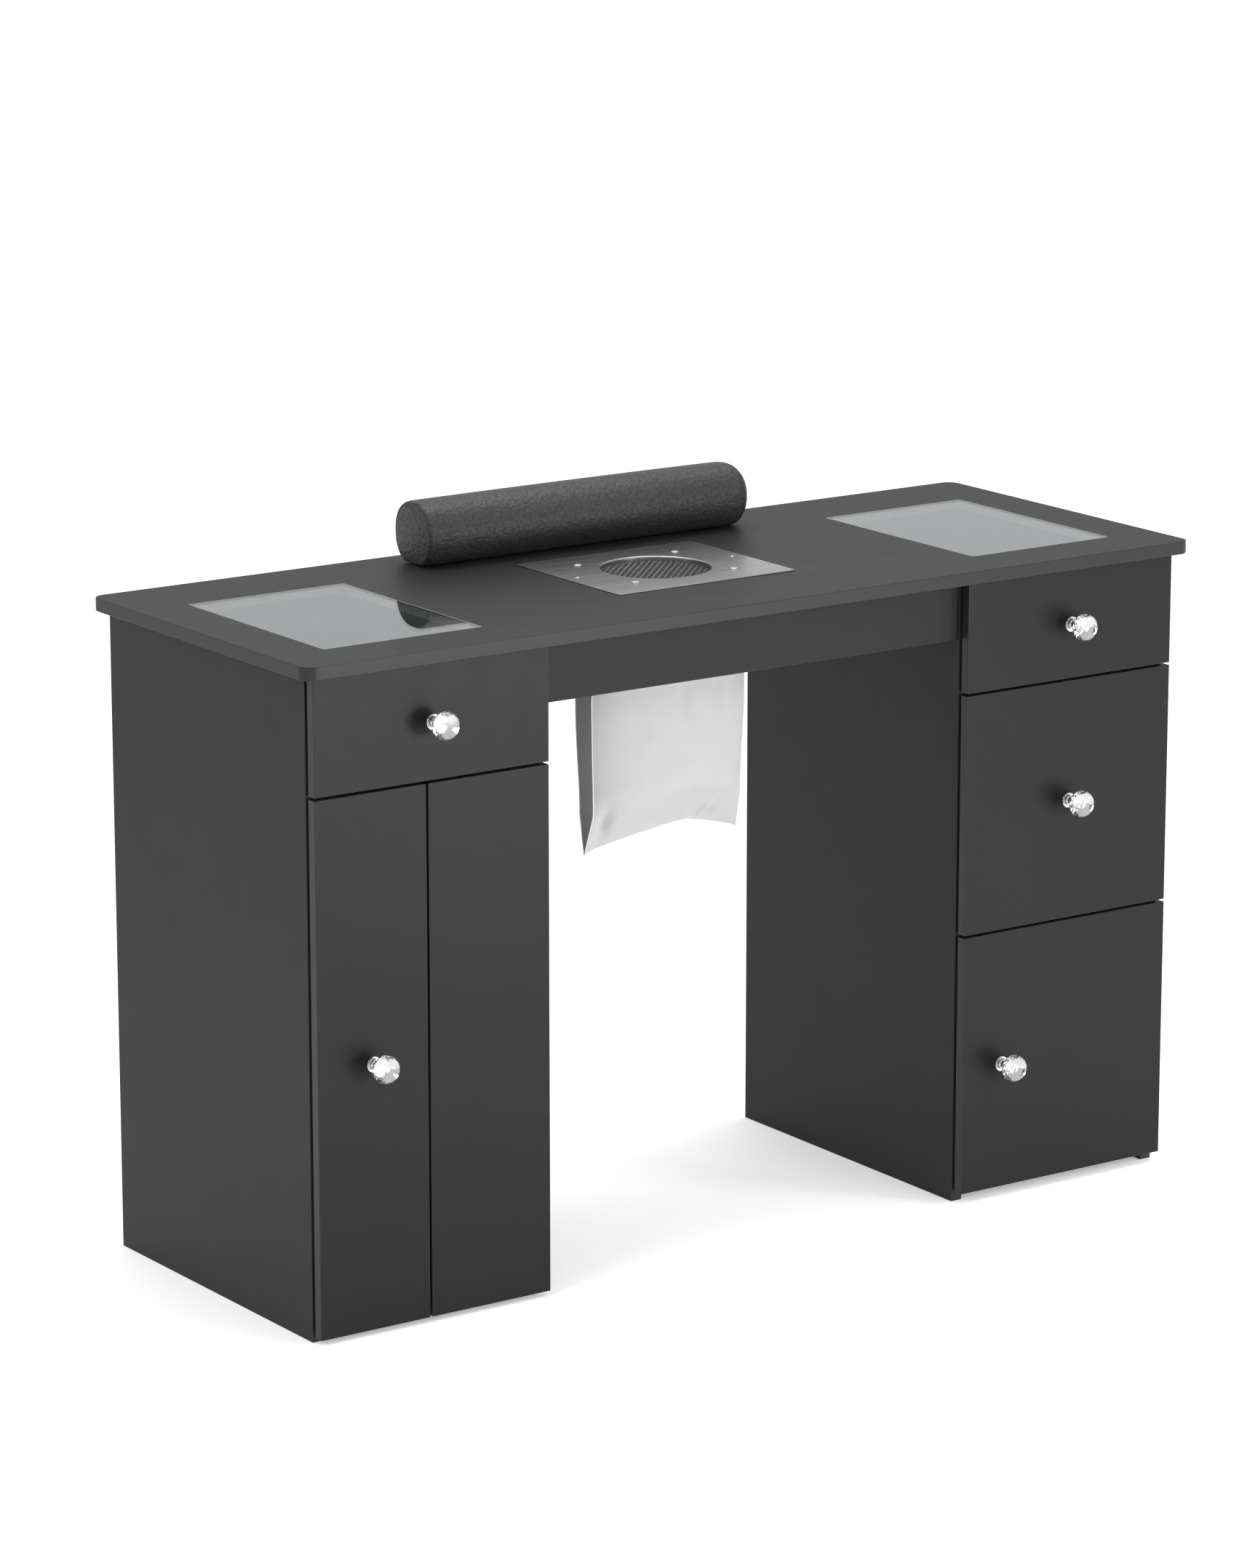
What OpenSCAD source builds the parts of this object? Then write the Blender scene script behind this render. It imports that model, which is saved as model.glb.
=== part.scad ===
// Manicure table: two drawer pedestals under one laminated top, with glass windows over the
// top drawers, a downdraft dust fan with its bag in the middle, and a loose wrist cushion.
// +Z is up, -Y is the drawer side, and the origin is on the floor under the middle of the box.

/* [Tabletop] */
// Width of the tabletop
top_w = 1200; // [1100:10:1400]
// Depth of the tabletop
top_d = 450; // [440:5:520]
// Height of the tabletop's upper face above the floor
table_h = 750; // [745:5:790]
// Thickness of the tabletop
top_t = 15; // [12:1:18]
// Radius of the tabletop's vertical corners
top_corner_r = 15; // [5:1:25]

/* [Pedestals] */
// How far the tabletop reaches past each pedestal's outer side
side_overhang = 16; // [10:1:30]
// How far the tabletop reaches past the pedestals' back
back_overhang = 13; // [5:1:20]
// Outer width of one pedestal
pedestal_w = 299; // [290:1:320]
// Thickness of the carcass boards
board_t = 15; // [12:1:18]
// Thickness of the back panels
back_t = 9; // [5:1:12]
// Height of the underside of each pedestal's bottom board
bottom_z = 15; // [10:1:30]
// Middle height of the board under both top drawers
shelf_mid_z = 604; // [590:1:620]
// Middle height of the board between the middle drawer and the right cupboard
divider_mid_z = 320; // [300:1:340]
// Middle of the upright between the pull-out rack and the left cupboard
partition_mid_x = -442; // [-450:1:-435]
// Height of the front and rear rails under the tabletop
rail_h = 69; // [50:1:80]

/* [Fronts] */
// Thickness of every drawer front and door
front_t = 12; // [10:1:15]
// Air gap between the carcass and the back of the fronts
front_gap = 4; // [3:0.5:5]
// How far the fronts stand behind the tabletop's front edge
front_setback = 14; // [10:1:20]
// Gap between neighbouring fronts
reveal = 3; // [2:0.5:5]
// Height of the lower edge of the left pedestal's fronts
left_front_z = 6; // [3:0.5:12]
// Height of the lower edge of the right pedestal's door
right_front_z = 12; // [6:0.5:14]

/* [Drawers] */
// Outer length of a drawer box
drawer_len = 370; // [340:5:380]
// Thickness of a drawer box's walls
box_wall = 10; // [8:1:12]
// Thickness of a drawer's bottom panel
box_floor = 3; // [3:0.5:5]
// Height of the two top drawers' boxes
top_box_h = 78; // [60:1:85]
// Height of the middle drawer's box
middle_box_h = 180; // [120:5:200]
// Travel of the drawers and of the pull-out rack
travel = 270; // [200:10:280]
// Side room for one runner
runner_gap = 12.5; // [12:0.1:13]
// Length of a runner
runner_len = 350; // [300:10:350]

/* [Pull-out rack] */
// Height of the lowest tray's underside
tray_first_z = 48; // [40:1:80]
// Distance between trays
tray_pitch = 170; // [150:5:175]
// Height of a tray's side walls
tray_h = 46; // [40:1:60]

/* [Knobs] */
// How far a knob stands out from its front
knob_out = 36; // [30:1:40]
// Diameter of the crystal head
knob_d = 32; // [26:1:34]
// Diameter of the metal rosette
rosette_d = 18; // [14:1:20]

/* [Glass windows] */
// Width of a glass pane
glass_w = 200; // [160:5:210]
// Depth of a glass pane
glass_d = 280; // [200:5:300]
// Thickness of a glass pane
glass_t = 6; // [4:1:8]
// Width of the ledge that a pane rests on
glass_ledge = 5; // [3:1:8]

/* [Dust fan] */
// Width of the steel vent plate
plate_w = 242; // [220:1:260]
// Depth of the steel vent plate
plate_d = 204; // [180:1:220]
// Diameter of the hole in the vent plate
vent_d = 125; // [110:1:126]
// Distance between the fan screws, across the table
fan_screw_x = 134.6; // [130:0.1:138]
// Distance between the fan screws, front to back
fan_screw_y = 114.8; // [112:0.1:116]
// Depth of the fan housing
fan_h = 38; // [30:1:45]
// Number of impeller blades
blades = 7; // [5:1:9]

/* [Dust bag] */
// Width of the bag
bag_w = 203; // [180:1:220]
// Thickness of the bag, front to back
bag_d = 38; // [28:1:60]
// Height of the bag's lower edge
bag_z = 430; // [400:5:500]

/* [Wrist cushion] */
// Length of the cushion
cushion_len = 460; // [380:5:480]
// Diameter of the cushion, front to back
cushion_d = 80; // [70:1:90]
// Height of the cushion
cushion_h = 75; // [60:1:78]

/* [Hidden] */
$fn = 64;

// Depths, from the drawer side to the back
over_y = knob_out - front_setback;       // knobs stand out past the tabletop by this much
edge_y = -(top_d + over_y) / 2 + over_y; // tabletop's front edge
back_edge_y = edge_y + top_d;            // tabletop's back edge
face_y = edge_y + front_setback;         // outer face of the fronts
inner_y = face_y + front_t;              // back of the fronts
case_y = inner_y + front_gap;            // front edges of the carcass
rear_y = back_edge_y - back_overhang;    // back of the carcass
panel_y = rear_y - back_t;               // front of the back panels
top_mid_y = edge_y + top_d / 2;

// Widths and heights
under_z = table_h - top_t;               // tabletop's underside
out_x = top_w / 2 - side_overhang;       // outer face of both pedestals
knee_x = out_x - pedestal_w;             // knee side of both pedestals
bay_w = pedestal_w - 2 * board_t;        // clear width inside a pedestal
bay_mid_x = (out_x + knee_x) / 2;        // middle of the right pedestal
shelf_z = shelf_mid_z - board_t / 2;
divider_z = divider_mid_z - board_t / 2;
floor_z = bottom_z + board_t;            // inside floor of both pedestals
part_l = partition_mid_x - board_t / 2;
part_r = partition_mid_x + board_t / 2;

// Fronts
edge_in = 1;                             // the fronts are this much narrower at each side
front_top_z = under_z - 2;
upper_front_z = shelf_mid_z + reveal / 2;
lower_top_z = shelf_mid_z - reveal / 2;
door_top_z = divider_mid_z - reveal / 2;
middle_front_z = divider_mid_z + reveal / 2;
left_l = -out_x + edge_in;
left_r = -knee_x - edge_in;
right_l = knee_x + edge_in;
right_r = out_x - edge_in;
split_l = partition_mid_x - reveal / 2;
split_r = partition_mid_x + reveal / 2;
rack_mid_x = (left_l + split_l) / 2;

// Drawer boxes
box_w = bay_w - 2 * runner_gap;
top_box_lift = 11;                       // clear height under the top drawers' boxes
middle_box_lift = 15;
top_box_z = shelf_z + board_t + top_box_lift;
middle_box_z = divider_z + board_t + middle_box_lift;
box_floor_up = 4;                        // bottom panel above the walls' lower edge
glue_line = 0.1;                         // between two boards of one box
rack_l = -out_x + board_t + runner_gap;
rack_r = part_l - runner_gap;
rack_back_y = 150;
tray_wall = 8;
trays = 3;

// Runners: a channel on the carcass and a rail on the drawer
rail_skin = 1.2;
channel_h = 35;
channel_lip = 9;
slider_h = 30;
rib_h = 18;
rib_reach = 8.5;
runner_y = case_y + 4;
slider_short = 8;                        // a slider ends this far before its channel
top_runner_up = 34;                      // runners' middle above the underside of what they carry
middle_runner_up = 60;
rack_runner_up = 24;
top_runner_z = top_box_z + top_runner_up;
middle_runner_z = middle_box_z + middle_runner_up;
rack_runner_zs = [for (tray = [0, 2]) tray_first_z + tray * tray_pitch + rack_runner_up];

// Knobs
head_back = 13;                          // crystal head starts this far out from the front
stud_d = 4;
hole_d = 4.4;
screw_head_d = 8;
screw_head_t = 2.2;
rosette_t = 2.5;                         // the base steps down in three round stages
step_d = 13;
step_out = 5;
knob_neck_d = 9;
head_seat_r = 7;
head_band = [12, 8];                     // widest band of the head, back from its face
head_face_in = 6;
door_knob_drop = 4;                      // the door's knob sits below the door's middle
door_knob_in = 56;                       // and this far in from the door's free edge
upper_knob_z = (upper_front_z + front_top_z) / 2;
middle_knob_z = (middle_front_z + lower_top_z) / 2;
pullout_knob_z = (left_front_z + lower_top_z) / 2;
door_knob_z = (right_front_z + door_top_z) / 2 - door_knob_drop;
door_knob_x = right_l + door_knob_in;

// Hinges: a leaf on the carcass edge, a leaf on the door and a pin outside the side panel
pin_r = 1;
pin_bore_r = 1.05;
knuckle_r = 2.2;
leaf_t = 1.2;
leaf_w = 13;
leaf_h = 50;
knuckle_h = 16;
hinge_out = 2.3;                         // pin axis outside the side panel's outer face
hinge_y = (inner_y + case_y) / 2;
left_hinge_zs = [90, 520];
right_hinge_zs = [70, 262];

// Glass windows
glass_mid_y = top_mid_y - 15;
glass_corner_r = 3;
glass_play = 0.3;

// Fan
vent_y = top_mid_y - 3;
plate_t = 1.2;
plate_r = 4;
lip_t = 1.2;
lip_h = 4.5;                             // rolled lip below the tabletop's upper face
top_hole_d = 132;
mesh_t = 1.2;
mesh_z = table_h - lip_h - mesh_t;
mesh_pitch = 12;
housing_w = 152;
housing_d = 132;
housing_r = 8;
fan_bore_d = 124;
fan_z = under_z - fan_h;                 // underside of the fan housing
hub_d = 50;
motor_d = 42;
motor_h = 21;
spider_t = 4;
spider_arm = 6;                          // width of the arms that carry the motor
impeller_d = 118;
impeller_gap = 2;                        // above the motor's arms
hub_wall = 2;
hub_cap = 3;                             // from the motor's top to the hub's top
blade_tilt = 38;
blade_w = 32;
blade_t = 1.8;
hub_z = fan_z + spider_t + impeller_gap;
hub_top = hub_z + motor_h + hub_cap;
shaft_r = 2;
shaft_bore_r = 2.06;
collar_plate_t = 3;
collar_d = 130;
collar_wall = 2;
collar_h = 34;
collar_z = fan_z - collar_h;
small_screw_x = 213;                     // between the two small plate screws
small_screw_d = 3;
small_screw_len = 12;
small_hole_d = 3.2;
small_head = [6, 1.6];                   // diameter and thickness of a small screw's head
fan_screw_head = [9, 2.2];
fan_screw_end = 4;                       // fan screws end this far above the housing's underside

// Switched power inlet beside the fan
inlet_x = housing_w / 2;
inlet_w = 30;
inlet_y0 = -22;
inlet_d = 60;
inlet_h = 34;
socket_w = 24;
socket_h = 16;
socket_depth = 15;
rocker_w = 13;
rocker_h = 19;
rocker_depth = 7;
rocker_tilt = 8;
rocker_y = inlet_y0 + 4;                 // rocker's pin axis
rocker_z = under_z - inlet_h / 2;

// Bag
bag_gap = 0.4;
bag_skin = 3;
bag_shoulder_z = 640;
bag_neck_z = 664;
bag_top_z = 689;
bag_corner_r = 12;
bag_y = vent_y - 14;                     // the flat bag hangs a little towards the drawer side

// Touch latch behind the left cupboard door
latch_w = 14;
latch_len = 46;
latch_h = 16;
latch_back = 4;                          // behind the carcass's front edges
latch_x = part_r + 12;
plunger_d = 8;
plunger_bore_d = 8.2;
plunger_travel = 3;

// Loose cushion
cushion_x = 10;
cushion_y = 178;
rest_gap = 0.3;

// A box between two corners
module block(a, b) {
    translate(a) cube(b - a);
}

// A rounded plate standing on z, centred on c
module plate(size, r, z, t, c = [0, 0]) {
    translate([c[0], c[1], z]) linear_extrude(t) {
        square([size[0] - 2 * r, size[1]], center = true);
        square([size[0], size[1] - 2 * r], center = true);
        for (sx = [-1, 1], sy = [-1, 1])
            translate([sx * (size[0] / 2 - r), sy * (size[1] / 2 - r)]) circle(r);
    }
}

// An upright round bar or bore through z0 to z1
module upright(c, d, z0, z1) {
    translate([c[0], c[1], z0]) cylinder(d = d, h = z1 - z0);
}

// A bar or bore along Y from y0 to y1
module along_y(x, z, d, y0, y1) {
    translate([x, y0, z]) rotate([-90, 0, 0]) cylinder(d = d, h = y1 - y0);
}

module at_fan_screws() {
    for (sx = [-1, 1], sy = [-1, 1])
        translate([sx * fan_screw_x / 2, vent_y + sy * fan_screw_y / 2, 0]) children();
}

module at_small_screws() {
    for (s = [-1, 1]) translate([s * small_screw_x / 2, vent_y, 0]) children();
}

// ---- tabletop and what is set into it ----

module glass_at(side, grow, z, t) {
    size = [glass_w + 2 * grow, glass_d + 2 * grow];
    plate(size, glass_corner_r, z, t, [side * bay_mid_x, glass_mid_y]);
}

module tabletop() {
    color("#1d1d1f") difference() {
        plate([top_w, top_d], top_corner_r, under_z, top_t, [0, top_mid_y]);
        for (side = [-1, 1]) {
            glass_at(side, glass_play, table_h - glass_t, glass_t + 1);
            glass_at(side, -glass_ledge, under_z - 1, top_t + 2);
        }
        upright([0, vent_y], top_hole_d, under_z - 1, table_h + 1);
        at_fan_screws() upright([0, 0], hole_d, under_z - 1, table_h + 1);
        at_small_screws() upright([0, 0], small_hole_d, table_h - small_screw_len - 1, table_h + 1);
    }
}

module glass_pane(side) {
    color("#a9b8bc", 0.5) glass_at(side, 0, table_h - glass_t, glass_t);
}

module vent_plate() {
    color("#b9babc") difference() {
        union() {
            plate([plate_w, plate_d], plate_r, table_h, plate_t, [0, vent_y]);
            upright([0, vent_y], vent_d + 2 * lip_t, table_h - lip_h, table_h + 0.1);
        }
        upright([0, vent_y], vent_d, table_h - lip_h - 1, table_h + plate_t + 1);
        at_fan_screws() upright([0, 0], hole_d, table_h - 1, table_h + plate_t + 1);
        at_small_screws() upright([0, 0], small_hole_d, table_h - 1, table_h + plate_t + 1);
    }
}

module vent_mesh() {
    rim = 3;
    wire = 0.6;                          // half a wire's width
    wires = 5;                           // on each side of the middle one
    d = vent_d + 5;
    color("#8e9194") {
        difference() {
            upright([0, vent_y], d, mesh_z, mesh_z + mesh_t);
            upright([0, vent_y], d - 2 * rim, mesh_z - 1, mesh_z + mesh_t + 1);
        }
        intersection() {
            upright([0, vent_y], d - rim, mesh_z, mesh_z + mesh_t);
            for (i = [-wires:wires]) {
                c = i * mesh_pitch;
                block([c - wire, vent_y - d, mesh_z], [c + wire, vent_y + d, mesh_z + mesh_t]);
                block([-d, vent_y + c - wire, mesh_z], [d, vent_y + c + wire, mesh_z + mesh_t]);
            }
        }
    }
}

module plate_screws() {
    head_z = table_h + plate_t;
    color("#c9cacc") {
        at_fan_screws() {
            upright([0, 0], fan_screw_head[0], head_z, head_z + fan_screw_head[1]);
            upright([0, 0], stud_d, fan_z + fan_screw_end, head_z + 0.1);
        }
        at_small_screws() {
            upright([0, 0], small_head[0], head_z, head_z + small_head[1]);
            upright([0, 0], small_screw_d, table_h - small_screw_len, head_z + 0.1);
        }
    }
}

// ---- dust fan ----

module fan_housing() {
    color("#18181a") difference() {
        plate([housing_w, housing_d], housing_r, fan_z, fan_h, [0, vent_y]);
        upright([0, vent_y], fan_bore_d, fan_z - 1, under_z + 1);
        at_fan_screws() upright([0, 0], hole_d, fan_z + fan_screw_end - 1, under_z + 1);
    }
}

module fan_motor() {
    color("#2c2c2e") difference() {
        union() {
            upright([0, vent_y], motor_d, fan_z, fan_z + spider_t + motor_h);
            intersection() {
                upright([0, vent_y], fan_bore_d, fan_z, fan_z + spider_t);
                for (a = [45, 135]) translate([0, vent_y, fan_z]) rotate(a)
                    translate([-fan_bore_d, -spider_arm / 2, 0])
                        cube([2 * fan_bore_d, spider_arm, spider_t]);
            }
        }
        translate([0, vent_y, fan_z - 1]) cylinder(r = shaft_bore_r, h = fan_h);
    }
}

module fan_impeller() {
    blade_z = (hub_z + hub_top) / 2;
    color("#26262a") difference() {
        union() {
            upright([0, vent_y], hub_d, hub_z, hub_top);
            intersection() {
                upright([0, vent_y], impeller_d, hub_z, hub_top);
                for (i = [0:blades - 1])
                    translate([0, vent_y, blade_z]) rotate([0, 0, i * 360 / blades])
                        rotate([blade_tilt, 0, 0])
                            translate([hub_d / 2 - hub_wall, -blade_w / 2, -blade_t / 2])
                                cube([impeller_d / 2, blade_w, blade_t]);
            }
        }
        upright([0, vent_y], hub_d - 2 * hub_wall, hub_z - 1, hub_top - hub_wall);
        translate([0, vent_y, hub_z]) cylinder(r = shaft_r, h = fan_h);
    }
}

module fan_shaft() {
    color("#d0d0d2") translate([0, vent_y, fan_z + 1]) cylinder(r = shaft_r, h = hub_top - fan_z - 1);
}

module bag_collar() {
    color("#d8d8d6") difference() {
        union() {
            plate([housing_w, housing_d], housing_r, fan_z - collar_plate_t, collar_plate_t,
                  [0, vent_y]);
            upright([0, vent_y], collar_d, collar_z, fan_z);
        }
        upright([0, vent_y], collar_d - 2 * collar_wall, collar_z - 1, fan_z + 1);
    }
}

module dust_bag() {
    neck_d = collar_d + 2 * (bag_gap + bag_skin);
    color("#efefea") difference() {
        union() {
            plate([bag_w, bag_d], bag_corner_r, bag_z, bag_shoulder_z - bag_z, [0, bag_y]);
            hull() {
                plate([bag_w - 4, bag_d], bag_corner_r, bag_shoulder_z - 22, 1, [0, bag_y]);
                upright([0, vent_y], neck_d, bag_neck_z, bag_neck_z + 1);
            }
            upright([0, vent_y], neck_d, bag_neck_z, bag_top_z);
        }
        upright([0, vent_y], collar_d + 2 * bag_gap, collar_z - 5, bag_top_z + 1);
    }
}

module power_inlet() {
    x0 = inlet_x;
    mid_x = x0 + inlet_w / 2;
    back_y = inlet_y0 + inlet_d;
    pin_y = back_y - socket_depth;
    color("#202022") difference() {
        block([x0, inlet_y0, under_z - inlet_h], [x0 + inlet_w, back_y, under_z]);
        block([mid_x - socket_w / 2, pin_y, rocker_z - socket_h / 2],
              [mid_x + socket_w / 2, back_y + 1, rocker_z + socket_h / 2]);
        block([mid_x - rocker_w / 2 - 0.4, inlet_y0 - 1, rocker_z - rocker_h / 2 - 0.8],
              [mid_x + rocker_w / 2 + 0.4, inlet_y0 + 12, rocker_z + rocker_h / 2 + 0.8]);
        translate([mid_x - rocker_w / 2 - 3, rocker_y, rocker_z]) rotate([0, 90, 0])
            cylinder(r = pin_bore_r, h = rocker_w + 6);
    }
    color("#c8b070") for (p = [[-7, 3], [7, 3], [0, -3]])
        block([mid_x + p[0] - 1, pin_y, rocker_z + p[1] - 2],
              [mid_x + p[0] + 1, pin_y + 13, rocker_z + p[1] + 2]);
}

module power_rocker() {
    mid_x = inlet_x + inlet_w / 2;
    color("#8a1f1c") translate([mid_x, rocker_y, rocker_z]) rotate([-rocker_tilt, 0, 0]) {
        difference() {
            block([-rocker_w / 2, -rocker_depth, -rocker_h / 2],
                  [rocker_w / 2, 3, rocker_h / 2]);
            translate([-rocker_w, -rocker_depth - 22, 0]) rotate([0, 90, 0])
                cylinder(r = 24, h = 2 * rocker_w);
        }
        translate([-rocker_w / 2 - 2.5, 0, 0]) rotate([0, 90, 0])
            cylinder(r = pin_r, h = rocker_w + 5);
    }
}

// ---- wrist cushion ----

module wrist_cushion() {
    z0 = table_h + rest_gap;
    r = cushion_d / 2;
    color("#202022") intersection() {
        translate([cushion_x - cushion_len / 2, cushion_y, z0 + cushion_h - r])
            rotate([0, 90, 0]) cylinder(r = r, h = cushion_len);
        translate([cushion_x - cushion_len / 2 - 1, cushion_y - r - 1, z0])
            cube([cushion_len + 2, 2 * r + 2, cushion_d]);
    }
}

// ---- carcass ----

module side_panel(x) {
    color("#1b1b1d") block([x, case_y, 0], [x + board_t, rear_y, under_z]);
}

module back_panel(x) {
    color("#19191b") block([x, panel_y, bottom_z], [x + bay_w, rear_y, under_z]);
}

// A level board across a pedestal's bay
module level_board(x, z) {
    color("#1b1b1d") block([x, case_y, z], [x + bay_w, panel_y, z + board_t]);
}

module cross_rail(y) {
    color("#1b1b1d") block([-knee_x, y, under_z - rail_h], [knee_x, y + board_t, under_z]);
}

module left_partition() {
    color("#1b1b1d") block([part_l, case_y, floor_z], [part_r, panel_y, shelf_z]);
}

// Steel angles that hold the tabletop to the side panels
module top_brackets() {
    leg = 18;
    w = 24;
    t = 2;
    color("#a4a5a8") for (ped = [-1, 1], wall = [-1, 1], y = [case_y + 40, rear_y - 70])
        translate([ped * bay_mid_x + wall * bay_w / 2, y, under_z]) mirror([wall + 1, 0, 0]) {
            block([0, 0, -leg], [t, w, 0]);
            block([0, 0, -t], [leg, w, 0]);
        }
}

// ---- runners ----

// Channel on a carcass face at x, open towards dir
module channel(x, z, dir) {
    y1 = runner_y + runner_len;
    translate([x, 0, z]) mirror([dir < 0 ? 1 : 0, 0, 0]) {
        block([0, runner_y, -channel_h / 2], [rail_skin, y1, channel_h / 2]);
        for (s = [-1, 1])
            translate([0, runner_y, s * (channel_h - rail_skin) / 2 - rail_skin / 2])
                cube([channel_lip, runner_len, rail_skin]);
    }
}

// Slider on a drawer's wall at x, reaching towards dir
module slider(x, z, dir) {
    y1 = runner_y + runner_len - slider_short;
    translate([x, 0, z]) mirror([dir < 0 ? 1 : 0, 0, 0]) {
        block([0, runner_y, -slider_h / 2], [rail_skin, y1, slider_h / 2]);
        block([0, runner_y, -rib_h / 2], [rib_reach, y1, rib_h / 2]);
    }
}

// Both channels of a bay between x0 and x1
module channels(x0, x1, z) {
    channel(x0, z, 1);
    channel(x1, z, -1);
}

module sliders(x0, x1, z) {
    color("#b5b7ba") {
        slider(x0, z, -1);
        slider(x1, z, 1);
    }
}

module runner_rails() {
    color("#9fa1a4") {
        channels(-out_x + board_t, -knee_x - board_t, top_runner_z);
        channels(knee_x + board_t, out_x - board_t, top_runner_z);
        channels(knee_x + board_t, out_x - board_t, middle_runner_z);
        for (z = rack_runner_zs) channels(-out_x + board_t, part_l, z);
    }
}

// ---- drawers ----

// A front between two corners in the face plane, with the hole for its knob
module front_board(x0, x1, z0, z1, knob) {
    color("#1d1d1f") difference() {
        block([x0, face_y, z0], [x1, inner_y, z1]);
        if (knob != undef) along_y(knob[0], knob[1], hole_d, face_y - 1, inner_y + 1);
    }
}

// Drawer box: four wall boards and the bottom panel between them, each its own board
module drawer_box(mid_x, z, h, knob) {
    x0 = mid_x - box_w / 2;
    x1 = mid_x + box_w / 2;
    y0 = inner_y + box_wall;
    y1 = inner_y + drawer_len - box_wall;
    color("#2a2a2c") {
        difference() {
            block([x0, inner_y, z], [x1, y0, z + h]);
            along_y(knob[0], knob[1], hole_d, inner_y - 1, y0 + 1);
        }
        block([x0, y1, z], [x1, y1 + box_wall, z + h]);
        for (x = [x0, x1 - box_wall])
            block([x, y0 + glue_line, z], [x + box_wall, y1 - glue_line, z + h]);
        block([x0 + box_wall + glue_line, y0 + glue_line, z + box_floor_up],
              [x1 - box_wall - glue_line, y1 - glue_line, z + box_floor_up + box_floor]);
    }
}

// Metal rosette and neck, with the stud and the screw head behind the boards
module knob_base(at, grip) {
    color("#c3c4c6") {
        along_y(at[0], at[1], rosette_d, face_y - rosette_t, face_y);
        along_y(at[0], at[1], step_d, face_y - step_out, face_y - rosette_t);
        along_y(at[0], at[1], knob_neck_d, face_y - head_back, face_y - step_out);
        along_y(at[0], at[1], stud_d, face_y, face_y + grip);
        along_y(at[0], at[1], screw_head_d, face_y + grip, face_y + grip + screw_head_t);
    }
}

// Crystal head, wide in the middle with a flat face
module knob_head(at) {
    r = knob_d / 2;
    color("#e6edf0") translate([at[0], face_y, at[1]]) rotate([90, 0, 0])
        rotate_extrude() polygon([
            [0, head_back], [head_seat_r, head_back],
            [r, knob_out - head_band[0]], [r, knob_out - head_band[1]],
            [r - head_face_in, knob_out], [0, knob_out]
        ]);
}

left_drawer_knob_at = [-bay_mid_x, upper_knob_z];
right_drawer_knob_at = [bay_mid_x, upper_knob_z];
middle_drawer_knob_at = [bay_mid_x, middle_knob_z];
pullout_knob_at = [rack_mid_x, pullout_knob_z];
door_knob_at = [door_knob_x, door_knob_z];
drawer_grip = front_t + box_wall;

// ---- pull-out rack ----

// Three trays with side walls, held between the front and a rear board
module pullout_rack() {
    tray_back_y = rack_back_y - glue_line;
    color("#2a2a2c") {
        block([rack_l, rack_back_y, tray_first_z],
              [rack_r, rack_back_y + box_wall, tray_first_z + trays * tray_pitch]);
        for (i = [0:trays - 1]) {
            z = tray_first_z + i * tray_pitch;
            block([rack_l, inner_y, z], [rack_r, tray_back_y, z + tray_wall]);
            for (x = [rack_l, rack_r - tray_wall])
                block([x, inner_y, z + tray_wall + glue_line],
                      [x + tray_wall, tray_back_y, z + tray_h]);
        }
    }
}

// ---- doors ----

// Leaf lying on a board face at y0, reaching in from the knuckles of the axis at x
module leaf(x, y0, z, knuckle_ranges) {
    color("#b8babd") {
        block([x - hinge_out - leaf_w, y0, z - leaf_h / 2],
              [x - hinge_out - 0.1, y0 + leaf_t, z + leaf_h / 2]);
        for (k = knuckle_ranges) block([x - hinge_out - 1, y0, z + k[0]], [x, y0 + leaf_t, z + k[1]]);
    }
}

module fixed_hinge(x, z) {
    h = knuckle_h / 2;
    union() {
        leaf(x, case_y - leaf_t, z, [[-h, h]]);
        upright([x, hinge_y], 2 * knuckle_r, z - h, z + h);
        upright([x, hinge_y], 2 * pin_r, z - leaf_h / 2, z + leaf_h / 2);
    }
}

module door_hinge(x, z) {
    h = knuckle_h / 2 + 0.3;
    spans = [[-leaf_h / 2, -h], [h, leaf_h / 2]];
    difference() {
        union() {
            leaf(x, inner_y, z, spans);
            for (k = spans) upright([x, hinge_y], 2 * knuckle_r, z + k[0], z + k[1]);
        }
        translate([x, hinge_y, z - leaf_h]) cylinder(r = pin_bore_r, h = 2 * leaf_h);
    }
}

left_hinge_x = -knee_x + hinge_out;
right_hinge_x = out_x + hinge_out;

module hinge_leaves() {
    color("#b8babd") {
        for (z = left_hinge_zs) fixed_hinge(left_hinge_x, z);
        for (z = right_hinge_zs) fixed_hinge(right_hinge_x, z);
    }
}

module latch_body() {
    y0 = case_y + latch_back;
    z1 = shelf_z;
    color("#d9d9d6") difference() {
        block([latch_x - latch_w / 2, y0, z1 - latch_h], [latch_x + latch_w / 2, y0 + latch_len, z1]);
        along_y(latch_x, z1 - latch_h / 2, plunger_bore_d, y0 - 1, y0 + latch_len - 6);
    }
}

module latch_plunger() {
    z = shelf_z - latch_h / 2;
    color("#bcbcb8") {
        along_y(latch_x, z, plunger_d, inner_y + rest_gap, case_y + 30);
    }
}

// ---- the part ----

tabletop();
glass_pane(-1);  // glass_left
glass_pane(1);  // glass_right
vent_plate();
vent_mesh();
plate_screws();
fan_housing();
fan_motor();
fan_impeller();
fan_shaft();
bag_collar();
dust_bag();
power_inlet();
power_rocker();
wrist_cushion();
cross_rail(case_y);  // front_rail
cross_rail(rear_y - board_t);  // rear_rail
top_brackets();

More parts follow.
